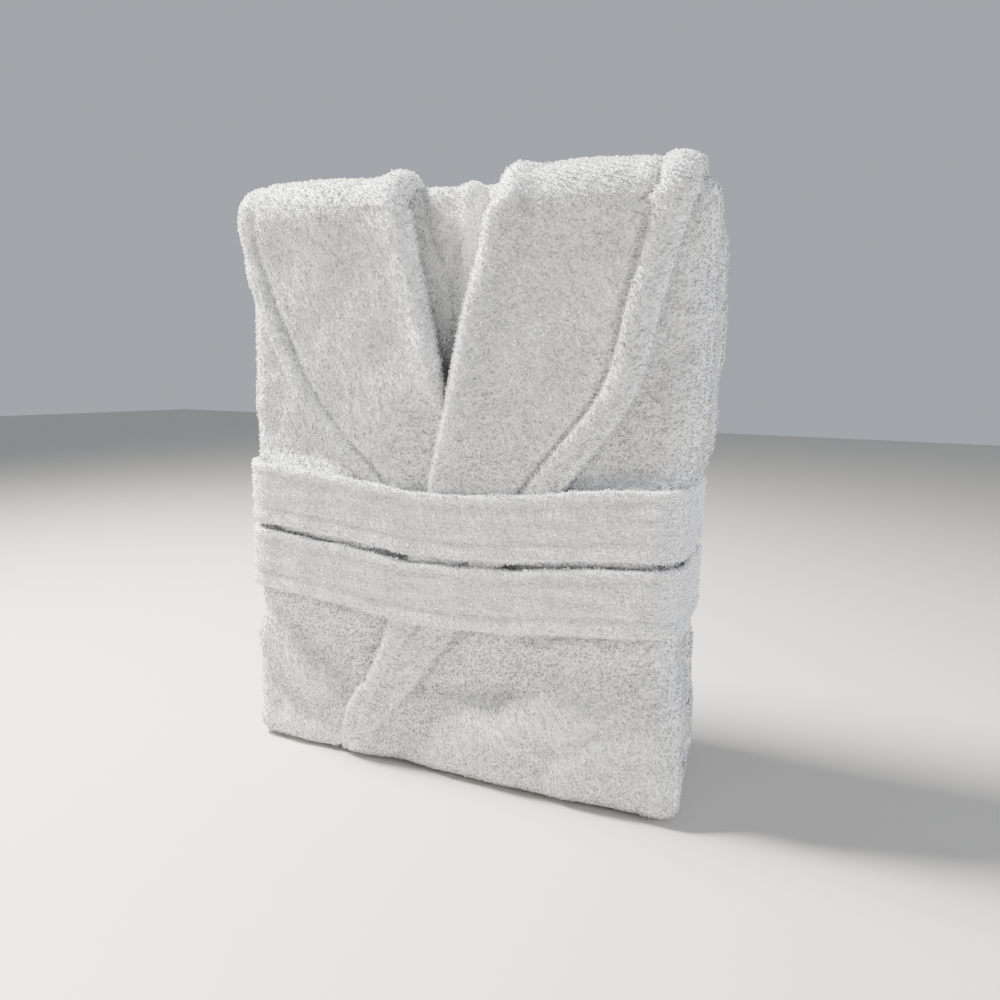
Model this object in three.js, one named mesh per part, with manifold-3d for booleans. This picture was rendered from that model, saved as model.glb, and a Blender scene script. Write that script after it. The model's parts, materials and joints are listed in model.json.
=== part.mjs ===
// A terry bathrobe folded into an upright bundle and bound by its own belt.
// Millimetres, +Z up. The chest faces -Y, +X is the viewer's right, and the bundle stands on its bottom fold.
// Left and right are the viewer's, looking at the chest. Every cloth layer is a solid of its own.
// Depth is counted from the outer face of the front panels, backwards; the group's position turns it into Y.
import * as THREE from "three";
import Module from "manifold-3d";
import { mergeVertices } from "three/addons/utils/BufferGeometryUtils.js";

const wasm = await Module();
wasm.setup();

// ---- Driving dimensions -------------------------------------------------------------------------
const HALF_WIDTH = 151; // the folded bundle, without the belt
const PANEL_TOP = 391.7; // top of the shoulder fold
const CLOTH = 5.7; // one layer of lofted terry
const GAP = 0.3; // between neighbouring layers
const PILE = CLOTH + GAP; // pitch of the layers in the stack
const CORNER = 20; // rounding of the bundle's upright edges
const BOTTOM_RADIUS = 24; // rounding of the bottom fold, middle of the outer cloth
const COLLAR = 7.7; // doubled terry of the shawl collar
const COLLAR_CORNER = 14; // rounding of the collar at the bundle's sides
const BELT_WIDTH = 42;
const BELT_CLOTH = 4.5;
const BELT_GAP = 0.5; // free space between belt and bundle
const BELT_PITCH = 47.5; // from the lower turn to the upper one
const BELT_LOW = 144; // height of the lower turn's middle, at the sides
const BELT_SAG = 12.5; // how far both turns hang at the middle of the chest
const BELT_END = 60; // where the loose end begins, left of the middle, behind the bundle
const BELT_TAIL = 100; // its length
const SLEEVE_DROP = 13.7; // from the shoulder fold down to the sleeves' fold
const SLEEVE_END = 180; // where the cuff begins
const CUFF = 85;
const HEM = 30;
const POCKET_WIDTH = 62;
const POCKET_HEIGHT = 200;
const POCKET_CLOTH = 4.5;
const LOOP_CLOTH = 3;
const LOOP_HEIGHT = 55;

// ---- The stack of layers, as depths from the front ----------------------------------------------
const chestBack = 2 * PILE + GAP; // front of the back panel, behind both front panels
const foldInFront = 3 * PILE + GAP; // the chest's folded-in sides
const sleeveFront = 4 * PILE + GAP; // sleeves, two layers each
const skirtFront = 6 * PILE + GAP; // the lowest third of the robe
const skirtBack = 7 * PILE + 2 * GAP;
const skirtFoldFront = skirtBack + PILE;
const STACK = 15 * PILE; // outer face of the rear third
const rearFold = (STACK - skirtFront - CLOTH) / 2; // radius of the fold at the top of the rear
const skirtFoldBack = STACK - 2 * PILE - GAP;
const pocketBack = STACK + GAP + POCKET_CLOTH;
const ringFront = -COLLAR - GAP - BELT_GAP; // inner face of the belt across the chest
const ringBack = pocketBack + BELT_GAP;
const ringSide = HALF_WIDTH + BELT_GAP;
const tailFront = ringBack + BELT_CLOTH + GAP;
const BUNDLE_FRONT = ringFront - BELT_CLOTH;
const BUNDLE_BACK = tailFront + BELT_CLOTH;
const DEPTH_TO_Y = -(BUNDLE_FRONT + BUNDLE_BACK) / 2;

// ---- Lines of the shawl collar on the chest, as [x, z] --------------------------------------------
// They are drawn on a chest 302 wide with its shoulder fold 391.7 high, and stretched to this bundle's.
const onChest = ([x, z]) => [x * HALF_WIDTH / 151, z * PANEL_TOP / 391.7];
const rollLine = [[33.5, 400], [14.7, 329], [0.6, 261], [-13, 201], [-41, 106], [-81.4, 8]].map(onChest);
const leftRoll = [[-33.5, 400], [-17, 330], [0.1, 261]].map(onChest);
const edgeLow = { right: onChest([77, 212]), left: onChest([-60, 212]) };
const edgeHigh = { right: onChest([150, 391]), left: onChest([-150.7, 346]) };
const collarEnd = [[-61.8, 57.3], [-31.4, 57.3], [4, 106]].map(onChest);
const facingLine = [[-61.9, 57], [-82.6, 5], [-70, 5], [-31.7, 57]].map(onChest);
const leftUnderRight = [[-13.6, 201], [-25.4, 160]].map(onChest);
const leftShoulder = onChest([-151, 352]);
const NECK_HALF = rollLine[0][0]; // half of the neck opening at the top
const NECK_DEPTH = 51.7; // how far the collar's back reaches down inside the neck
const EDGE_BULGE = 19; // how far the collar's outer edge bows out past its chord

// ---- Helpers --------------------------------------------------------------------------------------
// A closed geometry as a manifold solid, so that it can be cut and joined.
function solid(geometry) {
  const bare = geometry.index ? geometry.toNonIndexed() : geometry;
  bare.deleteAttribute("normal");
  bare.deleteAttribute("uv");
  const merged = mergeVertices(bare, 1e-4);
  return new wasm.Manifold(new wasm.Mesh({
    numProp: 3,
    vertProperties: merged.attributes.position.array,
    triVerts: new Uint32Array(merged.index.array),
  }));
}

function geometryOf(piece) {
  const cut = piece.getMesh();
  const geometry = new THREE.BufferGeometry();
  geometry.setAttribute("position", new THREE.BufferAttribute(cut.vertProperties, 3));
  geometry.setIndex(new THREE.BufferAttribute(cut.triVerts, 1));
  geometry.computeVertexNormals();
  return geometry;
}

function outline(points) {
  return new THREE.Shape(points.map(([a, b]) => new THREE.Vector2(a, b)));
}

// A flat plate with an outline in X and Z, from one depth to another.
function plate(points, front, back) {
  const wound = THREE.ShapeUtils.isClockWise(points.map(([a, b]) => new THREE.Vector2(a, b)));
  const shape = outline(wound ? [...points].reverse() : points);
  const geometry = new THREE.ExtrudeGeometry(shape, { depth: back - front, bevelEnabled: false });
  geometry.rotateX(Math.PI / 2);
  geometry.translate(0, back, 0);
  return solid(geometry);
}

function slab(x0, x1, front, back, z0, z1) {
  return plate([[x0, z0], [x1, z0], [x1, z1], [x0, z1]], front, back);
}

// Points of an arc in depth and height, from one angle to another, in degrees.
function arc(depth, height, radius, from, to, steps = 6) {
  return Array.from({ length: steps + 1 }, (_, i) => {
    const angle = THREE.MathUtils.degToRad(from + (to - from) * i / steps);
    return [depth + radius * Math.cos(angle), height + radius * Math.sin(angle)];
  });
}

// A cloth strip that follows a path in depth and height, over the bundle's whole width.
function strip(path, cloth) {
  const side = (sign) => path.map((point, i) => {
    const before = path[Math.max(i - 1, 0)];
    const after = path[Math.min(i + 1, path.length - 1)];
    const along = new THREE.Vector2(after[0] - before[0], after[1] - before[1]).normalize();
    return [point[0] - sign * along.y * cloth / 2, point[1] + sign * along.x * cloth / 2];
  });
  const ring = [...side(1), ...side(-1).reverse()];
  const wound = THREE.ShapeUtils.isClockWise(ring.map(([a, b]) => new THREE.Vector2(a, b)));
  const shape = outline(wound ? ring.reverse() : ring);
  const geometry = new THREE.ExtrudeGeometry(shape, { depth: 2 * HALF_WIDTH, bevelEnabled: false });
  const axes = new THREE.Matrix4().makeBasis(
    new THREE.Vector3(0, 1, 0), new THREE.Vector3(0, 0, 1), new THREE.Vector3(1, 0, 0));
  geometry.applyMatrix4(axes);
  geometry.translate(-HALF_WIDTH, 0, 0);
  return solid(geometry);
}

// An upright prism with rounded corners, which trims layers to the bundle's outline.
function bundlePrism(front, back, radius) {
  const shape = new THREE.Shape();
  const w = HALF_WIDTH;
  shape.moveTo(-w + radius, front);
  shape.lineTo(w - radius, front);
  shape.absarc(w - radius, front + radius, radius, -Math.PI / 2, 0);
  shape.lineTo(w, back - radius);
  shape.absarc(w - radius, back - radius, radius, 0, Math.PI / 2);
  shape.lineTo(-w + radius, back);
  shape.absarc(-w + radius, back - radius, radius, Math.PI / 2, Math.PI);
  shape.lineTo(-w, front + radius);
  shape.absarc(-w + radius, front + radius, radius, Math.PI, Math.PI * 1.5);
  const depth = PANEL_TOP + 4 * COLLAR;
  const geometry = new THREE.ExtrudeGeometry(shape, { depth, bevelEnabled: false, curveSegments: 6 });
  geometry.translate(0, 0, -COLLAR);
  return solid(geometry);
}

const stackPrism = bundlePrism(0, STACK, CORNER);
const collarPrism = bundlePrism(-COLLAR - GAP, STACK, COLLAR_CORNER);
const trim = (piece) => piece.intersect(stackPrism);

// ---- Cloth panels ---------------------------------------------------------------------------------
const terry = new THREE.MeshStandardMaterial({ color: "#e4e5e3", roughness: 1, metalness: 0 });
const beltTerry = new THREE.MeshStandardMaterial({ color: "#e6e6e2", roughness: 1, metalness: 0 });
const tape = new THREE.MeshStandardMaterial({ color: "#eeeeea", roughness: 0.9, metalness: 0 });

const half = CLOTH / 2;
const rearFoldHeight = PANEL_TOP - rearFold - PILE;
const rearFoldMiddle = STACK - half - rearFold;

// The path of a panel: down the chest, round the bottom fold, up the rear and down again inside.
// Inset counts how many millimetres the path lies inside the outermost cloth.
function foldedPath(chestInset, inset, top) {
  const bend = BOTTOM_RADIUS - inset;
  const rearBend = rearFold - inset;
  const front = half + chestInset;
  const back = STACK - half - inset;
  const bottom = half + inset;
  return [
    ...top,
    ...arc(front + bend, bottom + bend, bend, 180, 270),
    ...arc(back - bend, bottom + bend, bend, 270, 360),
    ...arc(rearFoldMiddle, rearFoldHeight, rearBend, 0, 180, 10),
    [rearFoldMiddle - rearBend, 2 * HEM + GAP],
  ];
}

const shoulder = arc(half + 2 * PILE, PANEL_TOP - half - 2 * PILE, 2 * PILE, 90, 180);
const frontPath = foldedPath(0, 0, [[shoulder[0][0] + PILE, shoulder[0][1]], ...shoulder]);
const backPath = foldedPath(chestBack, PILE + GAP, [[chestBack + half, PANEL_TOP - PILE - 2 * GAP]]);
const frontStrip = trim(strip(frontPath, CLOTH));

const ABOVE = PANEL_TOP + 40; // clear of everything

// What lies right of the collar's roll line on the chest, and of a straight line further back.
function rightOfRoll(shift) {
  const line = rollLine.map(([x, z]) => [x + shift, z]);
  const [lastX] = line.at(-1);
  const far = 2 * HALF_WIDTH;
  const around = [[lastX, -20], [far, -20], [far, ABOVE]];
  const chest = plate([[line[0][0], ABOVE], ...line, ...around], -20, sleeveFront);
  return chest.add(slab(lastX, far, sleeveFront - 1, 2 * STACK, -20, ABOVE));
}

function leftOfRoll() {
  const crossing = leftRoll.at(-1);
  const low = rollLine.slice(3).map(([x, z]) => [x - GAP, z]);
  const [lastX] = low.at(-1);
  const far = -2 * HALF_WIDTH;
  const line = [[leftRoll[0][0], ABOVE], ...leftRoll, [crossing[0] - 2 * GAP, crossing[1] - 1], ...low];
  const chest = plate([...line, [lastX, -20], [far, -20], [far, ABOVE]], -20, sleeveFront);
  return chest.add(slab(far, lastX, sleeveFront - 1, 2 * STACK, -20, ABOVE));
}

// The part of the left front that runs on underneath the right one.
function underlap() {
  const low = rollLine.slice(2, 5);
  const shifted = (by) => low.map(([x, z]) => [x + by, z]);
  const tuck = plate([...shifted(-20), ...shifted(-GAP).reverse()], half, 2 * PILE - 2 * GAP);
  const under = plate([...shifted(-20), ...shifted(70).reverse()], PILE, 2 * PILE - GAP);
  return tuck.add(under);
}

const rightFrontPanel = frontStrip.intersect(rightOfRoll(0));
const leftFrontPanel = frontStrip.intersect(leftOfRoll()).add(underlap());
const backPanel = trim(strip(backPath, CLOTH));

function chestFoldIn(sign) {
  const near = 20 * sign;
  const far = HALF_WIDTH * sign;
  const [x0, x1] = [Math.min(near, far), Math.max(near, far)];
  return trim(slab(x0, x1, foldInFront, foldInFront + CLOTH, BOTTOM_RADIUS + 4, PANEL_TOP - 2 * PILE));
}

function skirtFoldIn(sign) {
  const near = 3 * sign;
  const far = HALF_WIDTH * sign;
  const [x0, x1] = [Math.min(near, far), Math.max(near, far)];
  return trim(slab(x0, x1, skirtFoldFront, skirtFoldBack, BOTTOM_RADIUS + 6, rearFoldHeight));
}

// ---- Sleeves and cuffs ----------------------------------------------------------------------------
const SLEEVE_WIDTH = HALF_WIDTH - 12;
const sleeveBack = sleeveFront + 2 * CLOTH;

function sleeve(sign, z0, z1) {
  const near = 4 * sign;
  const far = (4 + SLEEVE_WIDTH) * sign;
  return slab(Math.min(near, far), Math.max(near, far), sleeveFront, sleeveBack, z0, z1);
}

const bottomHem = trim(slab(-HALF_WIDTH, HALF_WIDTH, skirtFront, skirtBack + CLOTH, HEM, 2 * HEM));

// ---- Shawl collar -----------------------------------------------------------------------------------
// Points of the collar's outer edge, bowed out past the straight line between its ends.
function bowedEdge(side) {
  const low = new THREE.Vector2(...edgeLow[side]);
  const high = new THREE.Vector2(...edgeHigh[side]);
  const out = new THREE.Vector2().subVectors(high, low).normalize().rotateAround(new THREE.Vector2(),
    side === "right" ? -Math.PI / 2 : Math.PI / 2);
  const steps = 12;
  return Array.from({ length: steps + 1 }, (_, i) => {
    const t = i / steps;
    const bulge = EDGE_BULGE * Math.sin(Math.PI * t) * (1.15 - 0.3 * t);
    const point = low.clone().lerp(high, t).addScaledVector(out, bulge);
    return [point.x, point.y];
  });
}

// The loose outer edge, which can be lifted along its chord. It keeps the layer gap to the collar.
function collarEdge(side) {
  const sign = side === "right" ? 1 : -1;
  const edge = bowedEdge(side).map(([x, z]) => [x + sign * GAP, z]);
  return trimCollar(plate(edge, -COLLAR - GAP, -GAP));
}

const trimCollar = (piece) => piece.intersect(collarPrism);
const collarTop = PANEL_TOP + GAP;

function overShoulder(x0, x1) {
  return slab(x0, x1, -COLLAR - GAP, sleeveFront - GAP, collarTop, collarTop + COLLAR);
}

function rightCollar() {
  const roll = rollLine.slice(0, 5).map(([x, z]) => [x, Math.min(z, collarTop + COLLAR)]);
  const outer = [edgeLow.right, edgeHigh.right, [HALF_WIDTH, collarTop + COLLAR]];
  const chest = plate([...roll, ...collarEnd, ...outer], -COLLAR - GAP, -GAP);
  return trimCollar(chest.add(overShoulder(NECK_HALF, HALF_WIDTH)));
}

function rightFrontFacing() {
  return plate(facingLine, -COLLAR - GAP, -GAP);
}

function leftCollar() {
  const roll = leftRoll.map(([x, z]) => [x - GAP, Math.min(z, collarTop + COLLAR)]);
  const outer = [edgeLow.left, edgeHigh.left, leftShoulder, [-HALF_WIDTH, collarTop + COLLAR]];
  const chest = plate([...roll, ...leftUnderRight, ...outer], -COLLAR - GAP, -GAP);
  return trimCollar(chest.add(overShoulder(-HALF_WIDTH, -NECK_HALF)));
}

// The collar's back, between the two lapels: it stands inside the neck and rolls over the back panel.
function neckCollar() {
  const x = NECK_HALF - GAP;
  const stand = slab(-x, x, PILE, chestBack - GAP, PANEL_TOP - NECK_DEPTH, PANEL_TOP);
  const neck = slab(-x, x, 0, 2 * STACK, PANEL_TOP - NECK_DEPTH, ABOVE);
  const room = leftOfRoll().add(rightOfRoll(0));
  const roll = slab(-x, x, PILE, sleeveFront - GAP, PANEL_TOP - PILE + GAP, PANEL_TOP);
  return stand.add(roll).intersect(neck).subtract(room);
}

// ---- Pockets and loops ------------------------------------------------------------------------------
function pocket(sign) {
  const far = (HALF_WIDTH - CORNER) * sign;
  const near = far - POCKET_WIDTH * sign;
  const z1 = rearFoldHeight;
  return slab(Math.min(near, far), Math.max(near, far), STACK + GAP, pocketBack, z1 - POCKET_HEIGHT, z1);
}

function beltLoop(sign) {
  const x0 = sign > 0 ? 8 : -18;
  const z1 = SLEEVE_END - CUFF - PILE;
  return slab(x0, x0 + 10, sleeveFront + GAP, sleeveFront + GAP + LOOP_CLOTH, z1 - LOOP_HEIGHT, z1);
}

function hangingLoop() {
  const front = foldInFront + GAP;
  const top = PANEL_TOP - 15.7;
  const outer = slab(-16, 16, front, front + LOOP_CLOTH, top - 46, top);
  return outer.subtract(slab(-9, 9, front - 1, front + LOOP_CLOTH + 1, top - 39, ABOVE));
}

// ---- Belt -------------------------------------------------------------------------------------------
// One strip wound twice: it starts behind the bundle, goes round low, climbs behind it and goes round high.
class BeltRoute extends THREE.Curve {
  constructor() {
    super();
    this.radius = COLLAR_CORNER + BELT_GAP + BELT_CLOTH / 2;
    this.x = ringSide + BELT_CLOTH / 2;
    this.front = ringFront - BELT_CLOTH / 2;
    this.back = ringBack + BELT_CLOTH / 2;
    this.side = this.back - this.front - 2 * this.radius;
    this.across = 2 * (this.x - this.radius);
    this.bend = this.radius * Math.PI / 2;
    this.turn = 2 * this.side + 2 * this.across + 4 * this.bend;
    this.start = this.across / 2 - 10; // how far along the rear the strip begins
    this.total = 2 * this.turn - this.start + this.across / 2 - BELT_END;
  }

  // A point on the ring, seen from above, after a distance from the rear's left end.
  ring(distance) {
    const { radius, side, across, bend } = this;
    const corner = (cx, cy, from, d) => {
      const a = from - d / radius;
      return [cx + radius * Math.cos(a), cy + radius * Math.sin(a)];
    };
    const legs = [
      [across, (d) => [-this.x + radius + d, this.back]],
      [bend, (d) => corner(this.x - radius, this.back - radius, Math.PI / 2, d)],
      [side, (d) => [this.x, this.back - radius - d]],
      [bend, (d) => corner(this.x - radius, this.front + radius, 0, d)],
      [across, (d) => [this.x - radius - d, this.front]],
      [bend, (d) => corner(-this.x + radius, this.front + radius, -Math.PI / 2, d)],
      [side, (d) => [-this.x, this.front + radius + d]],
      [bend, (d) => corner(-this.x + radius, this.back - radius, Math.PI, d)],
    ];
    let left = distance % this.turn;
    for (const [length, point] of legs) {
      if (left <= length) return point(left);
      left -= length;
    }
    return legs[0][1](0);
  }

  getPoint(t, target = new THREE.Vector3()) {
    const distance = this.start + t * this.total;
    const [x, depth] = this.ring(distance);
    const climb = THREE.MathUtils.smoothstep(distance, this.turn + 10, this.turn + this.across / 2);
    const lift = THREE.MathUtils.smoothstep(distance, 2 * this.turn - this.side, 2 * this.turn - this.bend);
    const front = depth < this.front + this.radius ? 1 : 0;
    const sag = front * BELT_SAG * (0.5 + 0.5 * Math.cos(Math.PI * x / this.x));
    return target.set(x, depth + lift * (BELT_CLOTH + GAP), BELT_LOW + climb * BELT_PITCH - sag);
  }
}

// Half widths and half thicknesses round the strip's section, with its corners cut.
function beltSection() {
  const w = BELT_WIDTH / 2;
  const t = BELT_CLOTH / 2;
  const c = BELT_CLOTH / 4;
  return [[-w, -c], [-w + c, -t], [w - c, -t], [w, -c], [w, c], [w - c, t], [-w + c, t], [-w, c]];
}

// The strip stands upright all along its route: its thickness stays level, so it never twists.
function belt() {
  const route = new BeltRoute();
  route.arcLengthDivisions = 2000;
  const section = beltSection();
  const steps = 220;
  const n = section.length;
  const positions = [];
  for (let i = 0; i <= steps; i += 1) {
    const centre = route.getPointAt(i / steps);
    const along = route.getTangentAt(i / steps);
    const outward = new THREE.Vector3(0, 0, 1).cross(along).normalize();
    const up = new THREE.Vector3().crossVectors(along, outward).normalize();
    for (const [w, t] of section) {
      const point = centre.clone().addScaledVector(up, w).addScaledVector(outward, t);
      positions.push(point.x, point.y, point.z);
    }
  }
  const index = [];
  for (let i = 0; i < steps; i += 1) {
    for (let j = 0; j < n; j += 1) {
      const [a, b] = [i * n + j, i * n + (j + 1) % n];
      index.push(a, b + n, b, a, a + n, b + n);
    }
  }
  const last = steps * n;
  for (let j = 1; j < n - 1; j += 1) {
    index.push(0, j, j + 1, last, last + j + 1, last + j);
  }
  const geometry = new THREE.BufferGeometry();
  geometry.setAttribute("position", new THREE.Float32BufferAttribute(positions, 3));
  geometry.setIndex(index);
  return geometryOf(solid(geometry));
}

const tailStart = -BELT_END + GAP;
function beltTail() {
  const z = BELT_LOW + BELT_PITCH;
  const h = BELT_WIDTH / 2;
  return slab(tailStart, tailStart + BELT_TAIL, tailFront, tailFront + BELT_CLOTH, z - h, z + h);
}

// ---- The robe -----------------------------------------------------------------------------------------
const robe = new THREE.Group();
robe.name = "folded_bathrobe";
robe.position.y = DEPTH_TO_Y;

function addPiece(name, shape, material = terry) {
  const geometry = shape.isBufferGeometry ? shape : geometryOf(shape);
  const mesh = new THREE.Mesh(geometry, material);
  mesh.name = name;
  robe.add(mesh);
}

addPiece("left_front_panel", leftFrontPanel);
addPiece("right_front_panel", rightFrontPanel);
addPiece("back_panel", backPanel);
addPiece("neck_collar", neckCollar());
addPiece("left_collar", leftCollar());
addPiece("right_collar", rightCollar());
addPiece("right_front_facing", rightFrontFacing());
addPiece("bottom_hem", bottomHem);
addPiece("hanging_loop", hangingLoop(), tape);
for (const [side, sign] of [["left", -1], ["right", 1]]) {
  addPiece(`${side}_collar_edge`, collarEdge(side));
  addPiece(`${side}_chest_fold_in`, chestFoldIn(sign));
  addPiece(`${side}_skirt_fold_in`, skirtFoldIn(sign));
  addPiece(`${side}_sleeve`, sleeve(sign, SLEEVE_END, PANEL_TOP - SLEEVE_DROP));
  addPiece(`${side}_cuff`, sleeve(sign, SLEEVE_END - GAP - CUFF, SLEEVE_END - GAP));
  addPiece(`${side}_pocket`, pocket(sign));
  addPiece(`${side}_belt_loop`, beltLoop(sign), tape);
}
addPiece("belt", belt(), beltTerry);
addPiece("belt_tail", beltTail(), beltTerry);

export default robe;
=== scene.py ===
"""A folded terry bathrobe bound by its own belt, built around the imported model."""
import json
import math

import bpy
import numpy as np
from bpy.props import FloatProperty, FloatVectorProperty, IntProperty, PointerProperty
from bpy.types import Operator, Panel, PropertyGroup
from mathutils import Matrix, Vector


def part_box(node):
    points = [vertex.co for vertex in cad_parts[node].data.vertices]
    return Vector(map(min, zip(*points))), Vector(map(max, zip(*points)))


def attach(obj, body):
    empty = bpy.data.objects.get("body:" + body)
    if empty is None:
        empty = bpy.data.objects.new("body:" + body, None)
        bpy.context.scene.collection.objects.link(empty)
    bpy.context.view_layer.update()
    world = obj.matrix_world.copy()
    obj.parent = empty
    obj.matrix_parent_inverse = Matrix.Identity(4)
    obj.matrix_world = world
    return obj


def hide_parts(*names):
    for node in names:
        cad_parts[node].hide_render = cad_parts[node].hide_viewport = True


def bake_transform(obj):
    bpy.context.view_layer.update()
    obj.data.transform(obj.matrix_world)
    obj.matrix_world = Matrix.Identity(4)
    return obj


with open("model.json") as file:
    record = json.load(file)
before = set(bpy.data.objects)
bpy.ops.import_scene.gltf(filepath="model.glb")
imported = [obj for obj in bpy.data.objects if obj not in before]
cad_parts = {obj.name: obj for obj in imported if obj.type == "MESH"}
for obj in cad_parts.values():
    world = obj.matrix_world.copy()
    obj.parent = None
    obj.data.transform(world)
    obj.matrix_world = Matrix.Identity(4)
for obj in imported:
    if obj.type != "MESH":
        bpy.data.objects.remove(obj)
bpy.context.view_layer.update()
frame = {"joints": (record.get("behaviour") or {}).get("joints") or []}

bl_info = {
    "name": "Folded bathrobe",
    "version": (1, 0, 0),
    "blender": (4, 5, 0),
    "location": "3D View > Sidebar > Bathrobe",
    "description": "Builds the terry cloth, belt and pile of a folded bathrobe around its frame",
    "category": "Object",
}

# ---- Sizes read from the frame. Shapes are worked out in millimetres as (across, depth, height) ----
PANEL_LOW, PANEL_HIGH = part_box("right_front_panel")
FRONT_Y = PANEL_LOW[1]
STACK = 1000 * (PANEL_HIGH[1] - PANEL_LOW[1])
HALF = 1000 * PANEL_HIGH[0]
TOP = 1000 * PANEL_HIGH[2]
ROBE = "folded_robe"

# Lines of the shawl collar on the chest, as (across, height)
ROLL_RIGHT = [(42, 404), (41.5, 394), (23, 329), (8.2, 261), (-8.5, 201), (-39, 106), (-81.4, 8), (-84, -2)]
ROLL_LEFT = [(-39, 404), (-38.5, 394), (-22.5, 330), (-5.5, 261), (-3, 238), (-8, 212), (-26, 158)]
OUTER_RIGHT = [(148, 420), (147, 391), (141, 360), (132, 322), (117, 264), (76, 207), (44, 163), (4, 106), (-31.4, 57)]
OUTER_LEFT = [(-153, 420), (-153, 358), (-148, 338), (-134, 306), (-112, 264), (-86, 230), (-56, 199), (-26, 152)]
FACING_RIGHT = [(-31.4, 57.5), (-50, 33), (-66, 10), (-72, -2)]
CROSS_SEAM = 57.0
HEM_BAND = 19.0

# The belt
BELT_WIDTH = 42.0
BELT_CLOTH = 4.5
BELT_LOW = 144.0
BELT_PITCH = 47.5
BELT_SAG = 12.5
BELT_HALF = 153.75


def box_mm(node):
    """A CAD node's lowest and highest corners in millimetres, as (across, depth, height)."""
    return (tuple(1000 * (v - FRONT_Y * (i == 1)) for i, v in enumerate(corner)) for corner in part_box(node))


def smooth_line(points, steps=24):
    """Points on a Catmull-Rom curve through the given ones."""
    p = np.array(points, float)
    p = np.vstack([2 * p[0] - p[1], p, 2 * p[-1] - p[-2]])
    out = []
    for i in range(1, len(p) - 2):
        t = np.linspace(0, 1, steps, endpoint=False)[:, None]
        a, b, c, d = p[i - 1], p[i], p[i + 1], p[i + 2]
        out.append(0.5 * (2 * b + (c - a) * t + (2 * a - 5 * b + 4 * c - d) * t**2 + (3 * b - a - 3 * c + d) * t**3))
    return np.vstack([*out, p[-2]])


def across_at(points):
    """The line's place across the chest, as a function of height."""
    line = smooth_line(points)
    line = line[np.argsort(line[:, 1])]
    return lambda z: np.interp(z, line[:, 1], line[:, 0])


roll_right, roll_left = across_at(ROLL_RIGHT), across_at(ROLL_LEFT)
outer_right, outer_left = across_at(OUTER_RIGHT), across_at(OUTER_LEFT)
facing_right = across_at(FACING_RIGHT)


def step(value, low, high):
    """Rises smoothly from 0 at low to 1 at high."""
    t = np.clip((value - low) / (high - low), 0, 1)
    return t * t * (3 - 2 * t)


def bell(value, middle, width):
    return np.exp(-(((value - middle) / width) ** 2))


def ripple(points, size, seed, waves=20):
    """Soft random waves of about the given size in millimetres, between about -1 and 1."""
    rng = np.random.RandomState(seed)
    way = rng.normal(size=(waves, 3))
    way /= np.linalg.norm(way, axis=1)[:, None]
    way *= 2 * np.pi / size * rng.uniform(0.6, 1.5, (waves, 1))
    phase = rng.uniform(0, 2 * np.pi, waves)
    flat = np.asarray(points, float).reshape(-1, 3)
    total = np.cos(flat @ way.T + phase).sum(axis=1) * math.sqrt(2 / waves) * 0.6
    return total.reshape(np.asarray(points).shape[:-1])


def near_line(a, b, line, width):
    """1 on a polyline in a plane, falling off to its sides."""
    line = np.array(line, float)
    best = np.full(np.shape(a), 1e9)
    for (x0, z0), (x1, z1) in zip(line[:-1], line[1:]):
        dx, dz = x1 - x0, z1 - z0
        t = np.clip(((a - x0) * dx + (b - z0) * dz) / (dx * dx + dz * dz), 0, 1)
        best = np.minimum(best, (a - x0 - t * dx) ** 2 + (b - z0 - t * dz) ** 2)
    return np.exp(-best / width**2)


# ---- The fold's path in depth and height ------------------------------------------------------------
class Route:
    """A path seen from the side, with the cloth's outer face on its left."""

    def __init__(self, legs):
        points = []
        for leg in legs:
            if len(leg) == 2:
                points.append([leg])
            else:
                cs, cz, r, a, b = leg
                t = np.radians(np.linspace(a, b, 24))
                points.append(np.stack([cs + r * np.cos(t), cz + r * np.sin(t)], axis=1))
        p = np.vstack(points)
        keep = np.r_[True, np.linalg.norm(np.diff(p, axis=0), axis=1) > 1e-6]
        p = p[keep]
        along = np.r_[0, np.cumsum(np.linalg.norm(np.diff(p, axis=0), axis=1))]
        self.length = along[-1]
        self.u = np.arange(0, self.length, 0.5)
        self.p = np.stack([np.interp(self.u, along, p[:, i]) for i in (0, 1)], axis=1)
        t = np.gradient(self.p, axis=0)
        t /= np.linalg.norm(t, axis=1)[:, None]
        self.out = np.stack([t[:, 1], -t[:, 0]], axis=1)

    def at(self, u):
        s, z = (np.interp(u, self.u, self.p[:, i]) for i in (0, 1))
        a, b = (np.interp(u, self.u, self.out[:, i]) for i in (0, 1))
        n = np.hypot(a, b)
        return s, z, a / n, b / n

    def where(self, s, z):
        return self.u[np.argmin((self.p[:, 0] - s) ** 2 + (self.p[:, 1] - z) ** 2)]


SHOULDER = 15.0
BOTTOM = 27.0
REAR = 26.85
REAR_FOLD = 361.7
TUCK = 5.0
robe_route = Route([
    (2 * SHOULDER, 345), (2 * SHOULDER, TOP - SHOULDER), (SHOULDER, TOP - SHOULDER, SHOULDER, 0, 180),
    (0, BOTTOM), (BOTTOM, BOTTOM, BOTTOM, 180, 270), (STACK - BOTTOM, 0),
    (STACK - BOTTOM, BOTTOM, BOTTOM, 270, 360), (STACK, REAR_FOLD),
    (STACK - REAR, REAR_FOLD, REAR, 0, 180), (STACK - 2 * REAR, 62),
])
U_FRONT = robe_route.where(0, TOP - SHOULDER)
U_BOTTOM = robe_route.where(0, BOTTOM)
U_UNDER = robe_route.where(STACK / 2, 0)
U_REAR = robe_route.where(STACK, BOTTOM)
U_FOLD = robe_route.where(STACK, REAR_FOLD)
U_INSIDE = robe_route.where(STACK - 2 * REAR, REAR_FOLD)


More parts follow.
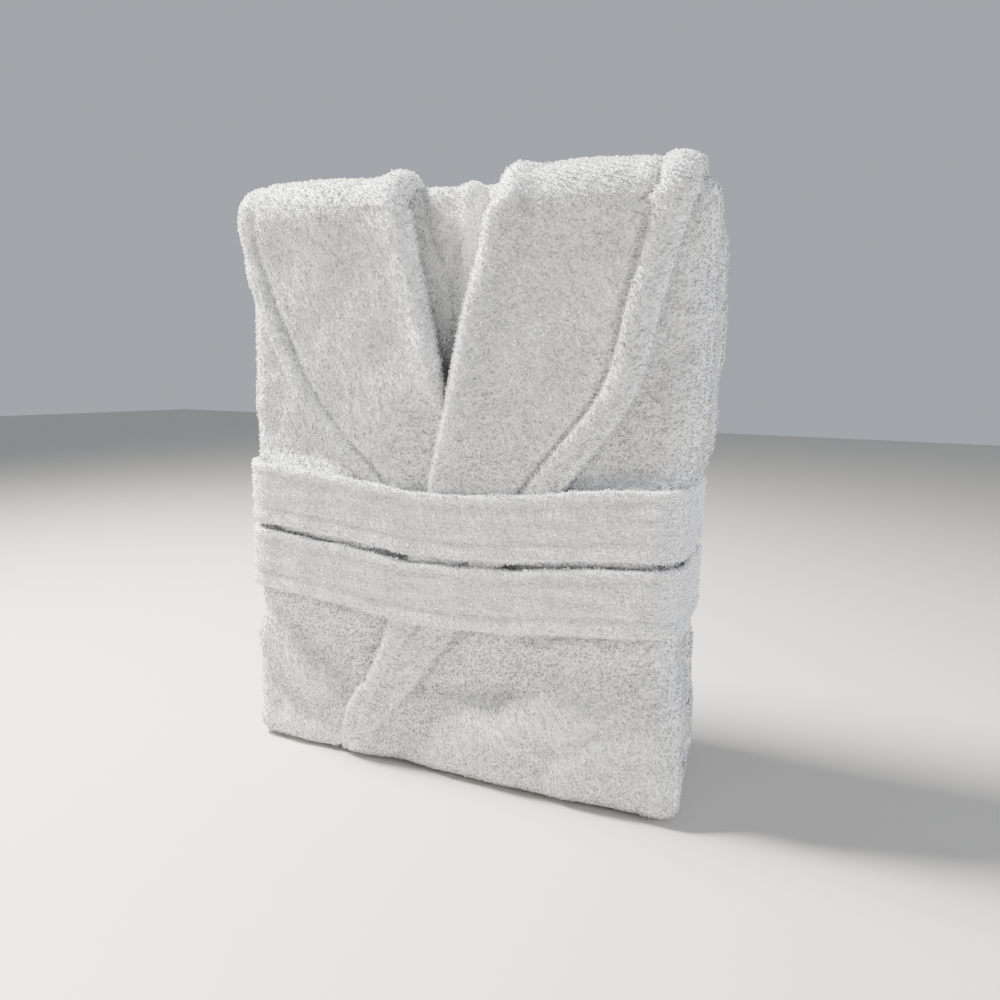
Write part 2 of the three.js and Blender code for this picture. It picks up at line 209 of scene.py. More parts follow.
def fold_section(q, w, r, d):
    """Where a cloth coordinate lies: flat, round the side with radius r, in to depth d, and tucked in there."""
    t = np.abs(q)
    flat_end = w - r
    turn_end = flat_end + r * math.pi / 2
    side_end = turn_end + np.maximum(d - TUCK - r, 0)
    turned = np.clip((t - flat_end) / r, 0, math.pi / 2)
    tucked = np.clip((t - side_end) / TUCK, 0, math.pi / 2)
    x = np.minimum(t, flat_end) + r * np.sin(turned) - TUCK * (1 - np.cos(tucked))
    x = x - np.maximum(t - side_end - TUCK * math.pi / 2, 0)
    depth = r * (1 - np.cos(turned)) + np.clip(t - turn_end, 0, side_end - turn_end) + TUCK * np.sin(tucked)
    return np.sign(q) * x, depth


def side_depth(u):
    """How deep the cloth turns in at the bundle's sides, along the route."""
    s, z, _, _ = robe_route.at(u)
    d = np.full_like(u, 26.3)
    top = u < U_FRONT
    d[top] = SHOULDER - 0.4
    front = (u >= U_FRONT) & (u < U_BOTTOM)
    d[front] = 14.6 + 24.4 * step(TOP - SHOULDER - z[front], 4, 70)
    low = front & (z < 80)
    d[low] = 26.0 + 13.0 * step(z[low], BOTTOM, 80)
    under = (u >= U_BOTTOM) & (u < U_REAR)
    d[under] = 26.0 + 34 * bell(s[under], 47, 17)
    return d


# Half the bundle's width, as (height, width). It is drawn in under the belt and swells above it
HALF_RIGHT = [(0, 156), (25, 158), (70, 157), (105, 153), (140, 150.2), (175, 150.2), (205, 151.5),
              (235, 159), (275, 162.5), (340, 161.5), (375, 161), (400, 158)]
HALF_LEFT = [(0, 156), (25, 158), (70, 157), (105, 153.5), (140, 150.0), (175, 150.0), (205, 151.5),
             (235, 156.5), (290, 156.5), (330, 155), (355, 150.5), (400, 150)]


def half_width(u, side):
    """Half the bundle's width along the route."""
    z = robe_route.at(u)[1]
    line = smooth_line(HALF_RIGHT if side > 0 else HALF_LEFT, 8)
    return np.interp(z, line[:, 0], line[:, 1]) - 1.5 * step(u, U_FOLD, U_INSIDE)


# ---- Relief of the outer cloth ----------------------------------------------------------------------
def belt_hang(x):
    """How far the belt hangs on the chest, from 1 in the middle to 0 at the sides."""
    return 0.5 + 0.5 * np.cos(math.pi * np.clip(x, -150, 150) / BELT_HALF)


def belt_press(z, x=0.0):
    """1 where the belt presses the cloth, and a little beyond."""
    level = z - BELT_SAG * (1 - belt_hang(x))
    return step(level, 106, 119) * (1 - step(level, 197, 212))


def side_roll(us, d, side):
    """Radius of the cloth's turn at the bundle's sides, along the route."""
    full = 20.0 if side > 0 else 12.0
    full = full - (full - 11.0) * (1 - step(robe_route.at(us)[1], 10, 60))
    return np.minimum(full, d - TUCK)


def belt_gap(x):
    """Height of the slit between the belt's two turns on the chest."""
    return BELT_LOW + 24 - BELT_SAG * belt_hang(x)


def between_turns(x, z):
    """Whether a place on the chest lies well behind one of the belt's turns."""
    away = np.abs(z - belt_gap(x) - 0.5)
    return (away > 9) & (away < 36)


def band_right(z):
    """The right edge of the lap band below the belt."""
    return np.where(z > CROSS_SEAM, outer_right(z), facing_right(z))


# Soft ridges and hollows of the chest's cloth: height, width, the line they follow, and whether only below the belt
WRINKLES = (
    (-3.6, 11, [(-142, 104), (-112, 84), (-84, 64), (-72, 50)], True),
    (4.4, 11, [(-156, 84), (-124, 62), (-98, 44), (-80, 28)], False),
    (-3.4, 6, [(-142, 50), (-122, 30), (-102, 10)], False),
    (2.2, 10, [(-128, 14), (-116, 8)], False),
    (-3.4, 12, [(46, 106), (38, 82), (32, 62)], True),
    (-1.2, 14, [(24, 92), (-10, 48), (-40, 8)], False),
    (-2.4, 8, [(-20, 62), (22, 66), (60, 72)], False),
    (3.0, 22, [(70, 100), (82, 64), (100, 40)], False),
    (2.4, 20, [(0, 40), (50, 44)], False),
    (-2.2, 9, [(60, 22), (104, 48), (140, 66)], False),
    (-1.6, 9, [(96, 236), (120, 262), (146, 300)], False),
    (-1.2, 8, [(-140, 236), (-124, 272), (-136, 300)], False),
)
BELT_FOOT = 112.0


def front_relief(x, z):
    """How far the chest's cloth stands proud of its plane, without what lies on it."""
    past_band = x - band_right(z)
    under_belt = z - belt_gap(x) + 45
    high = np.maximum(step(x - outer_right(z), 2, 26), step(outer_left(z) - x, 2, 26))
    low = np.clip(step(past_band, 4, 40) + step(roll_right(z) - x, 6, 34), 0, 1)
    bare = np.where(z < 110, low, high)
    relief = 6.2 * belt_press(z, x) * bare
    relief += 2.2 * bell(x, 128, 30) * bell(z, 270, 60)
    for height, width, line, low_only in WRINKLES:
        relief += height * near_line(x, z, line, width) * ((z < BELT_FOOT) if low_only else 1)
    relief += 8.5 * step(past_band, 3, 100) * (1 - step(z, 26, BELT_FOOT))
    relief -= 1.8 * bell(past_band, 5, 7) * (z < BELT_FOOT)
    relief += 3.4 * bell(under_belt, -10, 9) * bare - 4.5 * bell(under_belt, -0.5, 1.8)
    return relief


def side_grooves(x, s, z):
    """Creases where the turned-in layers meet at the bundle's sides."""
    right = near_line(s, z, [(40, 100), (30, 66), (18, 40), (12, 22)], 3.2) * (x > 0)
    right = np.maximum(right, 0.7 * near_line(s, z, [(24, 60), (36, 44), (44, 20)], 3) * (x > 0))
    left = near_line(s, z, [(38, 92), (26, 50), (20, 26)], 3) * (x < 0)
    return right + left


# ---- Grids and shells -------------------------------------------------------------------------------
def grid_normals(p):
    """Unit normals of a grid of points."""
    return unit(np.cross(np.gradient(p, axis=0), np.gradient(p, axis=1)))


def outward(p, ns, nz):
    """A grid's normals, turned the way of the route's, and whether they had to be turned."""
    n = grid_normals(p)
    guide = np.stack([np.zeros_like(ns), ns, nz], axis=1)
    turned = float((n[:, p.shape[1] // 2] * guide).sum()) < 0
    return (-n if turned else n), turned


def fold_grid(us, q, side):
    """Points of a cloth that follows the robe's route, and its outward normals. q holds each row's coordinates."""
    s, z, ns, nz = robe_route.at(us)
    d = side_depth(us)
    r = side_roll(us, d, side)
    x, depth = fold_section(q, half_width(us, side)[:, None], r[:, None], d[:, None])
    p = np.stack([x, s[:, None] - ns[:, None] * depth, z[:, None] - nz[:, None] * depth], axis=2)
    return p, *outward(p, ns, nz)


def face_grid(xs, zs, depth):
    """A grid of points on an upright face, from the top down."""
    z, x = np.meshgrid(zs, xs, indexing="ij")
    return np.stack([x, np.full_like(x, depth), z], axis=2)


def rows_between(legs):
    """Places along a route from (from, to, spacing) legs."""
    parts = [np.linspace(a, b, max(int(round((b - a) / gap)), 1), endpoint=False) for a, b, gap in legs]
    return np.r_[np.concatenate(parts), legs[-1][1]]


EDGE_ANGLES = np.radians([30, 60, 90, 120, 150])
END_ANGLES = np.radians([35, 65, 84])
EDGE = len(EDGE_ANGLES)


def unit(vectors):
    """Vectors of length 1."""
    return vectors / np.maximum(np.linalg.norm(vectors, axis=-1), 1e-9)[..., None]


def shell_loops(p, thick, flip=False):
    """Rows of closed loops round a cloth whose outer face is p, with rounded edges and ends."""
    n = grid_normals(p)
    if flip:
        n = -n
    thick = np.broadcast_to(np.asarray(thick, float), p.shape[:2])[:, :, None]
    inner = p - n * thick

    def edge(col, inward):
        away = unit(p[:, col] - p[:, inward])
        mid, half = (p[:, col] + inner[:, col]) / 2, (p[:, col] - inner[:, col]) / 2
        size = np.linalg.norm(half, axis=1)[:, None]
        return np.stack([mid + half * math.cos(a) + away * size * math.sin(a) for a in EDGE_ANGLES], axis=1)

    loops = np.concatenate([p, edge(-1, -2), inner[:, ::-1], edge(0, 1)[:, ::-1]], axis=1)
    cols = p.shape[1]
    order = np.r_[np.arange(cols), [cols - 1] * EDGE, np.arange(cols)[::-1], [0] * EDGE]

    def end(row, inward):
        away = unit(p[row] - p[inward])[order]
        mid = ((p[row] + inner[row]) / 2)[order]
        size = thick[row][order] / 2
        return [mid + (loops[row] - mid) * math.cos(a) + away * size * math.sin(a) for a in END_ANGLES]

    return np.concatenate([np.stack(end(0, 1)[::-1]), loops, np.stack(end(-1, -2))])


def to_metres(p):
    flat = np.asarray(p, float).reshape(-1, 3) / 1000
    flat[:, 1] += FRONT_Y
    return flat


def volume_of(verts, quads):
    a, b, c, d = (verts[quads[:, i]] for i in range(4))
    return float((a * np.cross(b, c)).sum() + (a * np.cross(c, d)).sum()) / 6


def mesh_object(name, verts, faces, smooth=True):
    mesh = bpy.data.meshes.new(name)
    mesh.from_pydata(verts, [], faces)
    mesh.polygons.foreach_set("use_smooth", [smooth] * len(mesh.polygons))
    mesh.update()
    return linked(name, mesh)


def linked(name, data):
    """A new object in the scene."""
    obj = bpy.data.objects.new(name, data)
    bpy.context.scene.collection.objects.link(obj)
    return obj


def shell_object(name, loops, cols):
    """A closed mesh object from rows of loops. cols is the number of points across one face."""
    rows, m, _ = loops.shape
    index = np.arange(rows * m).reshape(rows, m)
    a, b = index[:-1], np.roll(index[:-1], -1, axis=1)
    c, d = np.roll(index[1:], -1, axis=1), index[1:]
    quads = [np.stack([a, b, c, d], axis=2).reshape(-1, 4)]
    rims = []
    for row, way in ((index[0], -1), (index[-1], 1)):
        top, bottom = row[:cols], row[cols + EDGE:2 * cols + EDGE][::-1]
        quads.append(np.stack([top[:-1], top[1:], bottom[1:], bottom[:-1]], axis=1)[:, ::way])
        right, left = row[cols - 1:cols + EDGE + 1].tolist(), [*row[2 * cols + EDGE - 1:].tolist(), int(row[0])]
        rims += [right[::way], left[::way]]
    quads = np.concatenate(quads)
    verts = to_metres(loops)
    faces = quads.tolist() + rims
    if volume_of(verts, quads) < 0:
        faces = [f[::-1] for f in faces]
    return mesh_object(name, verts, faces)


# ---- Pile -------------------------------------------------------------------------------------------
def loop_normals(loops):
    round_trip = np.concatenate([loops[:, -1:], loops, loops[:, :1]], axis=1)
    return unit(np.cross(np.gradient(loops, axis=0), np.gradient(round_trip, axis=1)[:, 1:-1]))


def pile_points(loops, first, last, gap, seed, keep=None, flip=False):
    """Roots of the terry's loops in loose rows over part of a shell, with the surface's outward normal there."""
    rng = np.random.RandomState(seed)
    order = np.arange(first, last + 1) % loops.shape[1]
    p = loops[:, order]
    n = loop_normals(loops)[:, order]
    if flip:
        n = -n
    du = np.linalg.norm(np.diff(p, axis=0), axis=2)
    dv = np.linalg.norm(np.diff(p, axis=1), axis=2)
    fu = max(int(math.ceil(np.percentile(du, 92) / gap)), 1)
    fv = max(int(math.ceil(np.percentile(dv, 92) / gap)), 1)
    rows, cols = p.shape[0] - 1, p.shape[1] - 1
    iu, iv = np.meshgrid(np.arange(rows * fu), np.arange(cols * fv), indexing="ij")
    jitter = rng.uniform(-0.36, 0.36, (2, *iu.shape))
    u, v = (iu + 0.5 + jitter[0]) / fu, (iv + 0.5 + jitter[1]) / fv
    i, j = u.astype(int), v.astype(int)
    a, b = (u - i)[..., None], (v - j)[..., None]

    def mixed(f):
        return (f[i, j] * (1 - a) + f[i + 1, j] * a) * (1 - b) + (f[i, j + 1] * (1 - a) + f[i + 1, j + 1] * a) * b

    eu = np.linalg.norm(p[i + 1, j] - p[i, j], axis=2) / fu
    ev = np.linalg.norm(p[i, j + 1] - p[i, j], axis=2) / fv
    chance = eu * ev / gap**2
    place, normal = mixed(p), mixed(n)
    if keep is not None:
        chance = chance * keep(place)
    chance = chance * (1 - 0.4 * coarse(place)) * (place[..., 2] > 2.6)
    chosen = rng.uniform(size=chance.shape) < chance
    return place[chosen], unit(normal[chosen])


def tuft_object():
    """One loop of the pile, as a grain a unit long that stands on the origin."""
    ring = [(0.5 * math.cos(a), 0.5 * math.sin(a), 0.45) for a in (0.3, 0.3 + 2.094, 0.3 + 4.189)]
    faces = [(0, 2, 1), (0, 3, 2), (0, 1, 3), (4, 1, 2), (4, 2, 3), (4, 3, 1)]
    return mesh_object("tuft", [(0, 0, -0.25), *ring, (0, 0, 1)], faces)


def new_node(tree, kind, settings=None, **inputs):
    """A node with its settings and inputs. An input is a value or the socket that feeds it."""
    node = tree.nodes.new(kind)
    for key, value in (settings or {}).items():
        setattr(node, key, value)
    for key, value in inputs.items():
        feed(tree, node.inputs[key.replace("_", " ")], value)
    return node


def feed(tree, socket, value):
    if isinstance(value, bpy.types.NodeSocket):
        tree.links.new(value, socket)
    else:
        socket.default_value = value


def maths(tree, operation, *values, clamp=False):
    """The output of a Math node. Each value is a number or the socket that feeds it."""
    node = new_node(tree, "ShaderNodeMath", {"operation": operation, "use_clamp": clamp})
    for socket, value in zip(node.inputs, values):
        feed(tree, socket, value)
    return node.outputs[0]


def scatter_tree(name, thing):
    """Geometry Nodes that set a small shape on every point, along the point's own direction."""
    tree = bpy.data.node_groups.new(name, "GeometryNodeTree")
    face = tree.interface
    face.new_socket("Geometry", in_out="INPUT", socket_type="NodeSocketGeometry")
    for label, default in (("Length", 0.0024), ("Width", 0.0013), ("Size variation", 0.25)):
        face.new_socket(label, in_out="INPUT", socket_type="NodeSocketFloat").default_value = default
    face.new_socket("Seed", in_out="INPUT", socket_type="NodeSocketInt").default_value = 1
    face.new_socket("Material", in_out="INPUT", socket_type="NodeSocketMaterial")
    face.new_socket("Geometry", in_out="OUTPUT", socket_type="NodeSocketGeometry")
    start = new_node(tree, "NodeGroupInput").outputs
    thing_info = new_node(tree, "GeometryNodeObjectInfo", Object=thing)
    lean = new_node(tree, "GeometryNodeInputNamedAttribute", {"data_type": "FLOAT_VECTOR"}, Name="lean")
    grow = new_node(tree, "GeometryNodeInputNamedAttribute", {"data_type": "FLOAT"}, Name="grow")
    align = new_node(tree, "FunctionNodeAlignRotationToVector", {"axis": "Z"}, Vector=lean.outputs["Attribute"])
    spin = new_node(tree, "FunctionNodeRandomValue", {"data_type": "FLOAT"}, Seed=start["Seed"])
    spin.inputs[3].default_value = 6.2832
    twist = new_node(tree, "FunctionNodeAxisAngleToRotation", Axis=(0, 0, 1), Angle=spin.outputs[1])
    turn = new_node(tree, "FunctionNodeRotateRotation", {"rotation_space": "LOCAL"},
                    Rotation=align.outputs["Rotation"], Rotate_By=twist.outputs["Rotation"])
    vary = new_node(tree, "FunctionNodeRandomValue", {"data_type": "FLOAT"}, Seed=start["Seed"])
    feed(tree, vary.inputs[2], maths(tree, "SUBTRACT", 1.0, start["Size variation"]))
    feed(tree, vary.inputs[3], maths(tree, "ADD", 1.0, start["Size variation"]))
    size = maths(tree, "MULTIPLY", grow.outputs["Attribute"], vary.outputs[1])
    wide = maths(tree, "MULTIPLY", size, start["Width"])
    tall = maths(tree, "MULTIPLY", size, start["Length"])
    scale = new_node(tree, "ShaderNodeCombineXYZ", X=wide, Y=wide, Z=tall)
    instance = new_node(tree, "GeometryNodeInstanceOnPoints", Points=start["Geometry"],
                        Instance=thing_info.outputs["Geometry"], Rotation=turn.outputs["Rotation"],
                        Scale=scale.outputs["Vector"])
    real = new_node(tree, "GeometryNodeRealizeInstances", Geometry=instance.outputs["Instances"])
    paint = new_node(tree, "GeometryNodeSetMaterial", Geometry=real.outputs["Geometry"], Material=start["Material"])
    new_node(tree, "NodeGroupOutput", Geometry=paint.outputs["Geometry"])
    return tree


def scattered(name, tree, places, directions, grow, values):
    """A plain mesh object of the tree's shapes on these places, which are in the frame's metres."""
    cloud = bpy.data.meshes.new(name + "_roots")
    cloud.vertices.add(len(places))
    cloud.vertices.foreach_set("co", np.ascontiguousarray(places, np.float32).ravel())
    lean = cloud.attributes.new("lean", "FLOAT_VECTOR", "POINT")
    lean.data.foreach_set("vector", np.ascontiguousarray(directions, np.float32).ravel())
    size = cloud.attributes.new("grow", "FLOAT", "POINT")
    size.data.foreach_set("value", np.ascontiguousarray(grow, np.float32))
    holder = linked(name + "_roots", cloud)
    nodes = holder.modifiers.new("scatter", "NODES")
    nodes.node_group = tree
    sockets = {item.name: item.identifier for item in tree.interface.items_tree if item.in_out == "INPUT"}
    for label, value in values.items():
        nodes[sockets[label]] = value
    graph = bpy.context.evaluated_depsgraph_get()
    mesh = bpy.data.meshes.new_from_object(holder.evaluated_get(graph), depsgraph=graph)
    bpy.data.objects.remove(holder)
    bpy.data.meshes.remove(cloud)
    for label in ("lean", "grow"):
        if label in mesh.attributes:
            mesh.attributes.remove(mesh.attributes[label])
    mesh.name = name
    return linked(name, mesh)


# ---- Materials --------------------------------------------------------------------------------------
def terry_grain_and_shade_group():
    """Small relief of looped cotton, and its colour from a place in metres: the tips' white mixed in random speckles
    with painted shade between the loops.
    """
    name = "Terry grain and loop shade"
    if name in bpy.data.node_groups:
        return bpy.data.node_groups[name]
    group = bpy.data.node_groups.new(name, "ShaderNodeTree")
    face = group.interface
    face.new_socket("Vector", in_out="INPUT", socket_type="NodeSocketVector")
    for label, default in (("Loop size", 0.0026), ("Clump size", 0.009), ("Shade", 0.1), ("Speckle", 2.0)):
        face.new_socket(label, in_out="INPUT", socket_type="NodeSocketFloat").default_value = default
    for label in ("Light", "Dark"):
        face.new_socket(label, in_out="INPUT", socket_type="NodeSocketColor")
    face.new_socket("Color", in_out="OUTPUT", socket_type="NodeSocketColor")
    face.new_socket("Height", in_out="OUTPUT", socket_type="NodeSocketFloat")
    start = new_node(group, "NodeGroupInput").outputs
    loops_per_metre = maths(group, "DIVIDE", 1.0, start["Loop size"])
    cells = new_node(group, "ShaderNodeTexVoronoi", {"feature": "SMOOTH_F1"}, Smoothness=0.6,
                     Vector=start["Vector"], Scale=loops_per_metre)
    clumps = new_node(group, "ShaderNodeTexNoise", Detail=3.0, Vector=start["Vector"],
                      Scale=maths(group, "DIVIDE", 1.0, start["Clump size"]))
    fine = new_node(group, "ShaderNodeTexNoise", Detail=2.0, Vector=start["Vector"],
                    Scale=maths(group, "MULTIPLY", loops_per_metre, 2.0)).outputs["Fac"]
    height = maths(group, "MULTIPLY_ADD", fine, 0.5, maths(group, "SUBTRACT", 1.0, cells.outputs["Distance"]))
    # Speckles of painted shade between the loops, at random places in the white.
    speck = maths(group, "MULTIPLY_ADD", maths(group, "SUBTRACT", fine, 0.5), start["Speckle"], start["Shade"])
    share = maths(group, "MULTIPLY_ADD", clumps.outputs["Fac"], 0.5, speck, clamp=True)
    mix = new_node(group, "ShaderNodeMix", {"data_type": "RGBA"})
    for socket, value in zip((mix.inputs[0], mix.inputs[6], mix.inputs[7]), (share, start["Light"], start["Dark"])):
        feed(group, socket, value)
    new_node(group, "NodeGroupOutput", Color=mix.outputs[2], Height=height)
    return group


def cotton(name, light, dark, loop=0.0026, shade=0.12, speckle=4.0, bump=0.0006, rough=0.95, sheen=0.25):
    """White cotton with terry grain in its relief, and painted shade between the loops speckled into its colour."""
    if name in bpy.data.materials:
        return bpy.data.materials[name]
    mat, shader = plain(name, rough)
    tree = mat.node_tree
    shader.inputs["Sheen Weight"].default_value = sheen
    shader.inputs["Sheen Roughness"].default_value = 0.6
    shader.inputs["Specular IOR Level"].default_value = 0.2
    where = new_node(tree, "ShaderNodeTexCoord").outputs["Object"]
    grain = new_node(tree, "ShaderNodeGroup", {"node_tree": terry_grain_and_shade_group()}, Vector=where, Loop_size=loop,
                     Shade=shade, Speckle=speckle, Light=(*light, 1), Dark=(*dark, 1)).outputs
    relief = new_node(tree, "ShaderNodeBump", Strength=0.8, Distance=bump, Height=grain["Height"])
    feed(tree, shader.inputs["Base Color"], grain["Color"])
    feed(tree, shader.inputs["Normal"], relief.outputs["Normal"])
    return mat


def plain(name, rough):
    """A new material and its shader."""
    mat = bpy.data.materials.new(name)
    mat.use_nodes = True
    shader = mat.node_tree.nodes["Principled BSDF"]
    shader.inputs["Roughness"].default_value = rough
    return mat, shader


# ---- Settings ---------------------------------------------------------------------------------------
class BathrobeCloth(PropertyGroup):
    cloth: FloatProperty(name="Cloth thickness", description="Thickness of one layer of terry",
                         default=0.0054, min=0.002, max=0.01, unit="LENGTH", subtype="DISTANCE")
    lapel: FloatProperty(name="Collar thickness", description="Thickness of the doubled collar",
                         default=0.0077, min=0.004, max=0.014, unit="LENGTH", subtype="DISTANCE")
    softness: FloatProperty(name="Softness", description="Height of the slow waves in the cloth",
                            default=0.0012, min=0, max=0.004, unit="LENGTH", subtype="DISTANCE")
    light: FloatVectorProperty(name="White", description="Colour of the terry's tips", subtype="COLOR",
                               size=3, min=0, max=1, default=(0.93, 0.932, 0.925))
    # Painted shade between the loops, speckled into the white.
    dark: FloatVectorProperty(name="Shade", description="Colour between the loops", subtype="COLOR",
                              size=3, min=0, max=1, default=(0.55, 0.555, 0.56))


class BathrobePile(PropertyGroup):
    length: FloatProperty(name="Loop length", description="How far a loop of pile stands out of the cloth",
                          default=0.0014, min=0.0005, max=0.006, unit="LENGTH", subtype="DISTANCE")
    width: FloatProperty(name="Loop width", description="Width of a loop of pile",
                         default=0.001, min=0.0003, max=0.004, unit="LENGTH", subtype="DISTANCE")
    gap: FloatProperty(name="Loop spacing", description="Spacing of the loops where they show most",
                       default=0.00138, min=0.001, max=0.006, unit="LENGTH", subtype="DISTANCE")
    seed: IntProperty(name="Seed", description="Changes the pile's random places", default=7, min=0)


class BathrobeStage(PropertyGroup):
    floor: FloatVectorProperty(name="Floor", description="Colour of the floor", subtype="COLOR",
                               size=3, min=0, max=1, default=(0.54, 0.52, 0.475))
    key: FloatProperty(name="Key light", description="Power of the main lamp", default=109, min=0, unit="POWER")
    sky: FloatProperty(name="Fill", description="Strength of the even light from all round", default=0.5, min=0)


def shaded(light, dark):
    """The cloth's white, made this much lighter or darker at the tips and between the loops, for lit and shaded copies
    of the cloth with painted light and painted shade.
    """
    white = bpy.context.scene.bathrobe_cloth.light
    return tuple(min(light * v, 0.97) for v in white), tuple(dark * v for v in white)


def terry():
    c = bpy.context.scene.bathrobe_cloth
    return cotton("terry_cloth", tuple(c.light), tuple(c.dark))


# The belt's cloth: a lit copy of the terry, painted a little lighter.
def lit_belt_cotton():
    c = bpy.context.scene.bathrobe_cloth
    return cotton("lit_belt_cloth", shaded(1.01, 1)[0], tuple(c.dark), loop=0.0022)


def pile_cotton(name):
    """The pile's cotton, in lit and shaded copies of one white: the body's pile is painted darker, with more painted
    shade between its loops, and the belt's pile is painted lighter, with less.
    """
    if "front" in name:
        # Painted shade: the body's pile is a darker copy of the same white.
        return cotton("shaded_body_pile", *shaded(0.9, 0.42), loop=0.003, shade=0.28, speckle=6.5, bump=0.0001, sheen=0.2)
    if "belt" in name:
        # Painted light: the belt's pile is a lighter copy of the same white.
        return cotton("tight_pile", *shaded(1.05, 0.62), loop=0.0026, shade=0.12, speckle=6.5, bump=0.0001)
    return cotton("terry_pile", *shaded(1, 0.45), loop=0.0034, shade=0.24, speckle=6.5, bump=0.0001, sheen=0.2)


PILE_LIMIT = 32000
RIB_PITCH = 2.7
WORDS = {1: "right", -1: "left"}
tools = {}


def coarse(place):
    """1 on the sides, rear and bottom, where fewer and larger loops do."""
    return step(place[..., 1], 30, 62)


def follow(obj, body, blend):
    """Makes a piece move with one body, or, given a blend, bakes its place into its mesh."""
    if blend:
        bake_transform(obj)
    else:
        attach(obj, body)


def add_pile(name, loops, first, last, seed, lay, flip, keep=None, spread=1.0, ribs=(1, 0, 0), droop=0.7, body=ROBE,
             blend=None, slot="terry"):
    """Pile over these columns of a shell, in pieces none too large. lay is the way the loops lean, in the frame."""
    settings = bpy.context.scene.bathrobe_pile
    place, normal = pile_points(loops, first, last, spread * 1000 * settings.gap, seed, keep, flip)
    rng = np.random.RandomState(settings.seed + len(name))
    lay = np.asarray(lay, float)
    side = lay - (normal @ lay)[:, None] * normal
    clump = ripple(place, 5.0, 31)[:, None]
    clump_side = ripple(place, 4.0, 37)[:, None]
    loose = rng.normal(size=place.shape) * 0.5
    lean = normal + side * (droop + 0.12 * clump) + np.cross(normal, side) * 0.15 * clump_side + loose
    lean /= np.linalg.norm(lean, axis=1)[:, None]
    low = place[:, 2] < 4
    lean[low, 2] = np.maximum(lean[low, 2], -0.1)
    rib = np.cos(2 * math.pi * (place @ np.asarray(ribs, float)) / RIB_PITCH + 0.9 * ripple(place, 24, 45))
    size = (1 + 0.26 * rib + 0.12 * ripple(place, 3.2, 41)) * (1 + 0.42 * coarse(place))
    pieces = []
    parts = int(math.ceil(len(place) / PILE_LIMIT))
    order = np.argsort(place[:, 2], kind="stable") if parts > 1 else np.arange(len(place))
    for k, chosen in enumerate(np.array_split(order, parts)):
        label = name if parts == 1 else f"{name}_{k + 1}"
        piece = scattered(label, tools["pile"], to_metres(place[chosen]), lean[chosen], size[chosen], {
            "Length": settings.length, "Width": settings.width, "Seed": settings.seed + k,
            "Material": pile_cotton(name)})
        follow(piece, body, blend)
        pieces.append(piece)
    return pieces


def dress(name, loops, cols, nodes, slot="terry", mat=None, body=ROBE, blend=None):
    """Makes a shell, gives it its cloth and its body, and hides the nodes that it stands for."""
    obj = shell_object(name, loops, cols)
    obj.data.materials.append(mat or terry())
    follow(obj, body, blend)
    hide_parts(*nodes)
    return obj


def finish_cloth(name, loops, cols, nodes, flat, held, rests_on, pile, area=None, **how):
    """A dressed shell."""
    dress(name, loops, cols, nodes, **how)


def strip_area(widths, us):
    """The flat area in square metres of a strip with these widths in millimetres along it."""
    return float(((widths[1:] + widths[:-1]) / 2 * np.diff(us)).sum()) / 1e6


def grain_relief(p, softness, seed):
    """Slow and small waves, in millimetres, for a cloth."""
    return softness * ripple(p, 62, seed) + 0.25 * softness * ripple(p, 26, seed + 1) + 0.08 * ripple(p, 9, seed + 2)


# ---- The front panels -------------------------------------------------------------------------------
def panel_rows():
    return rows_between([
        (0, U_FRONT, 3.0), (U_FRONT, U_BOTTOM, 3.0), (U_BOTTOM, U_REAR, 3.0), (U_REAR, U_FOLD, 3.4),
        (U_FOLD, U_INSIDE, 3.2), (U_INSIDE, U_INSIDE + 40, 5.0), (U_INSIDE + 40, robe_route.length, 12.0)])


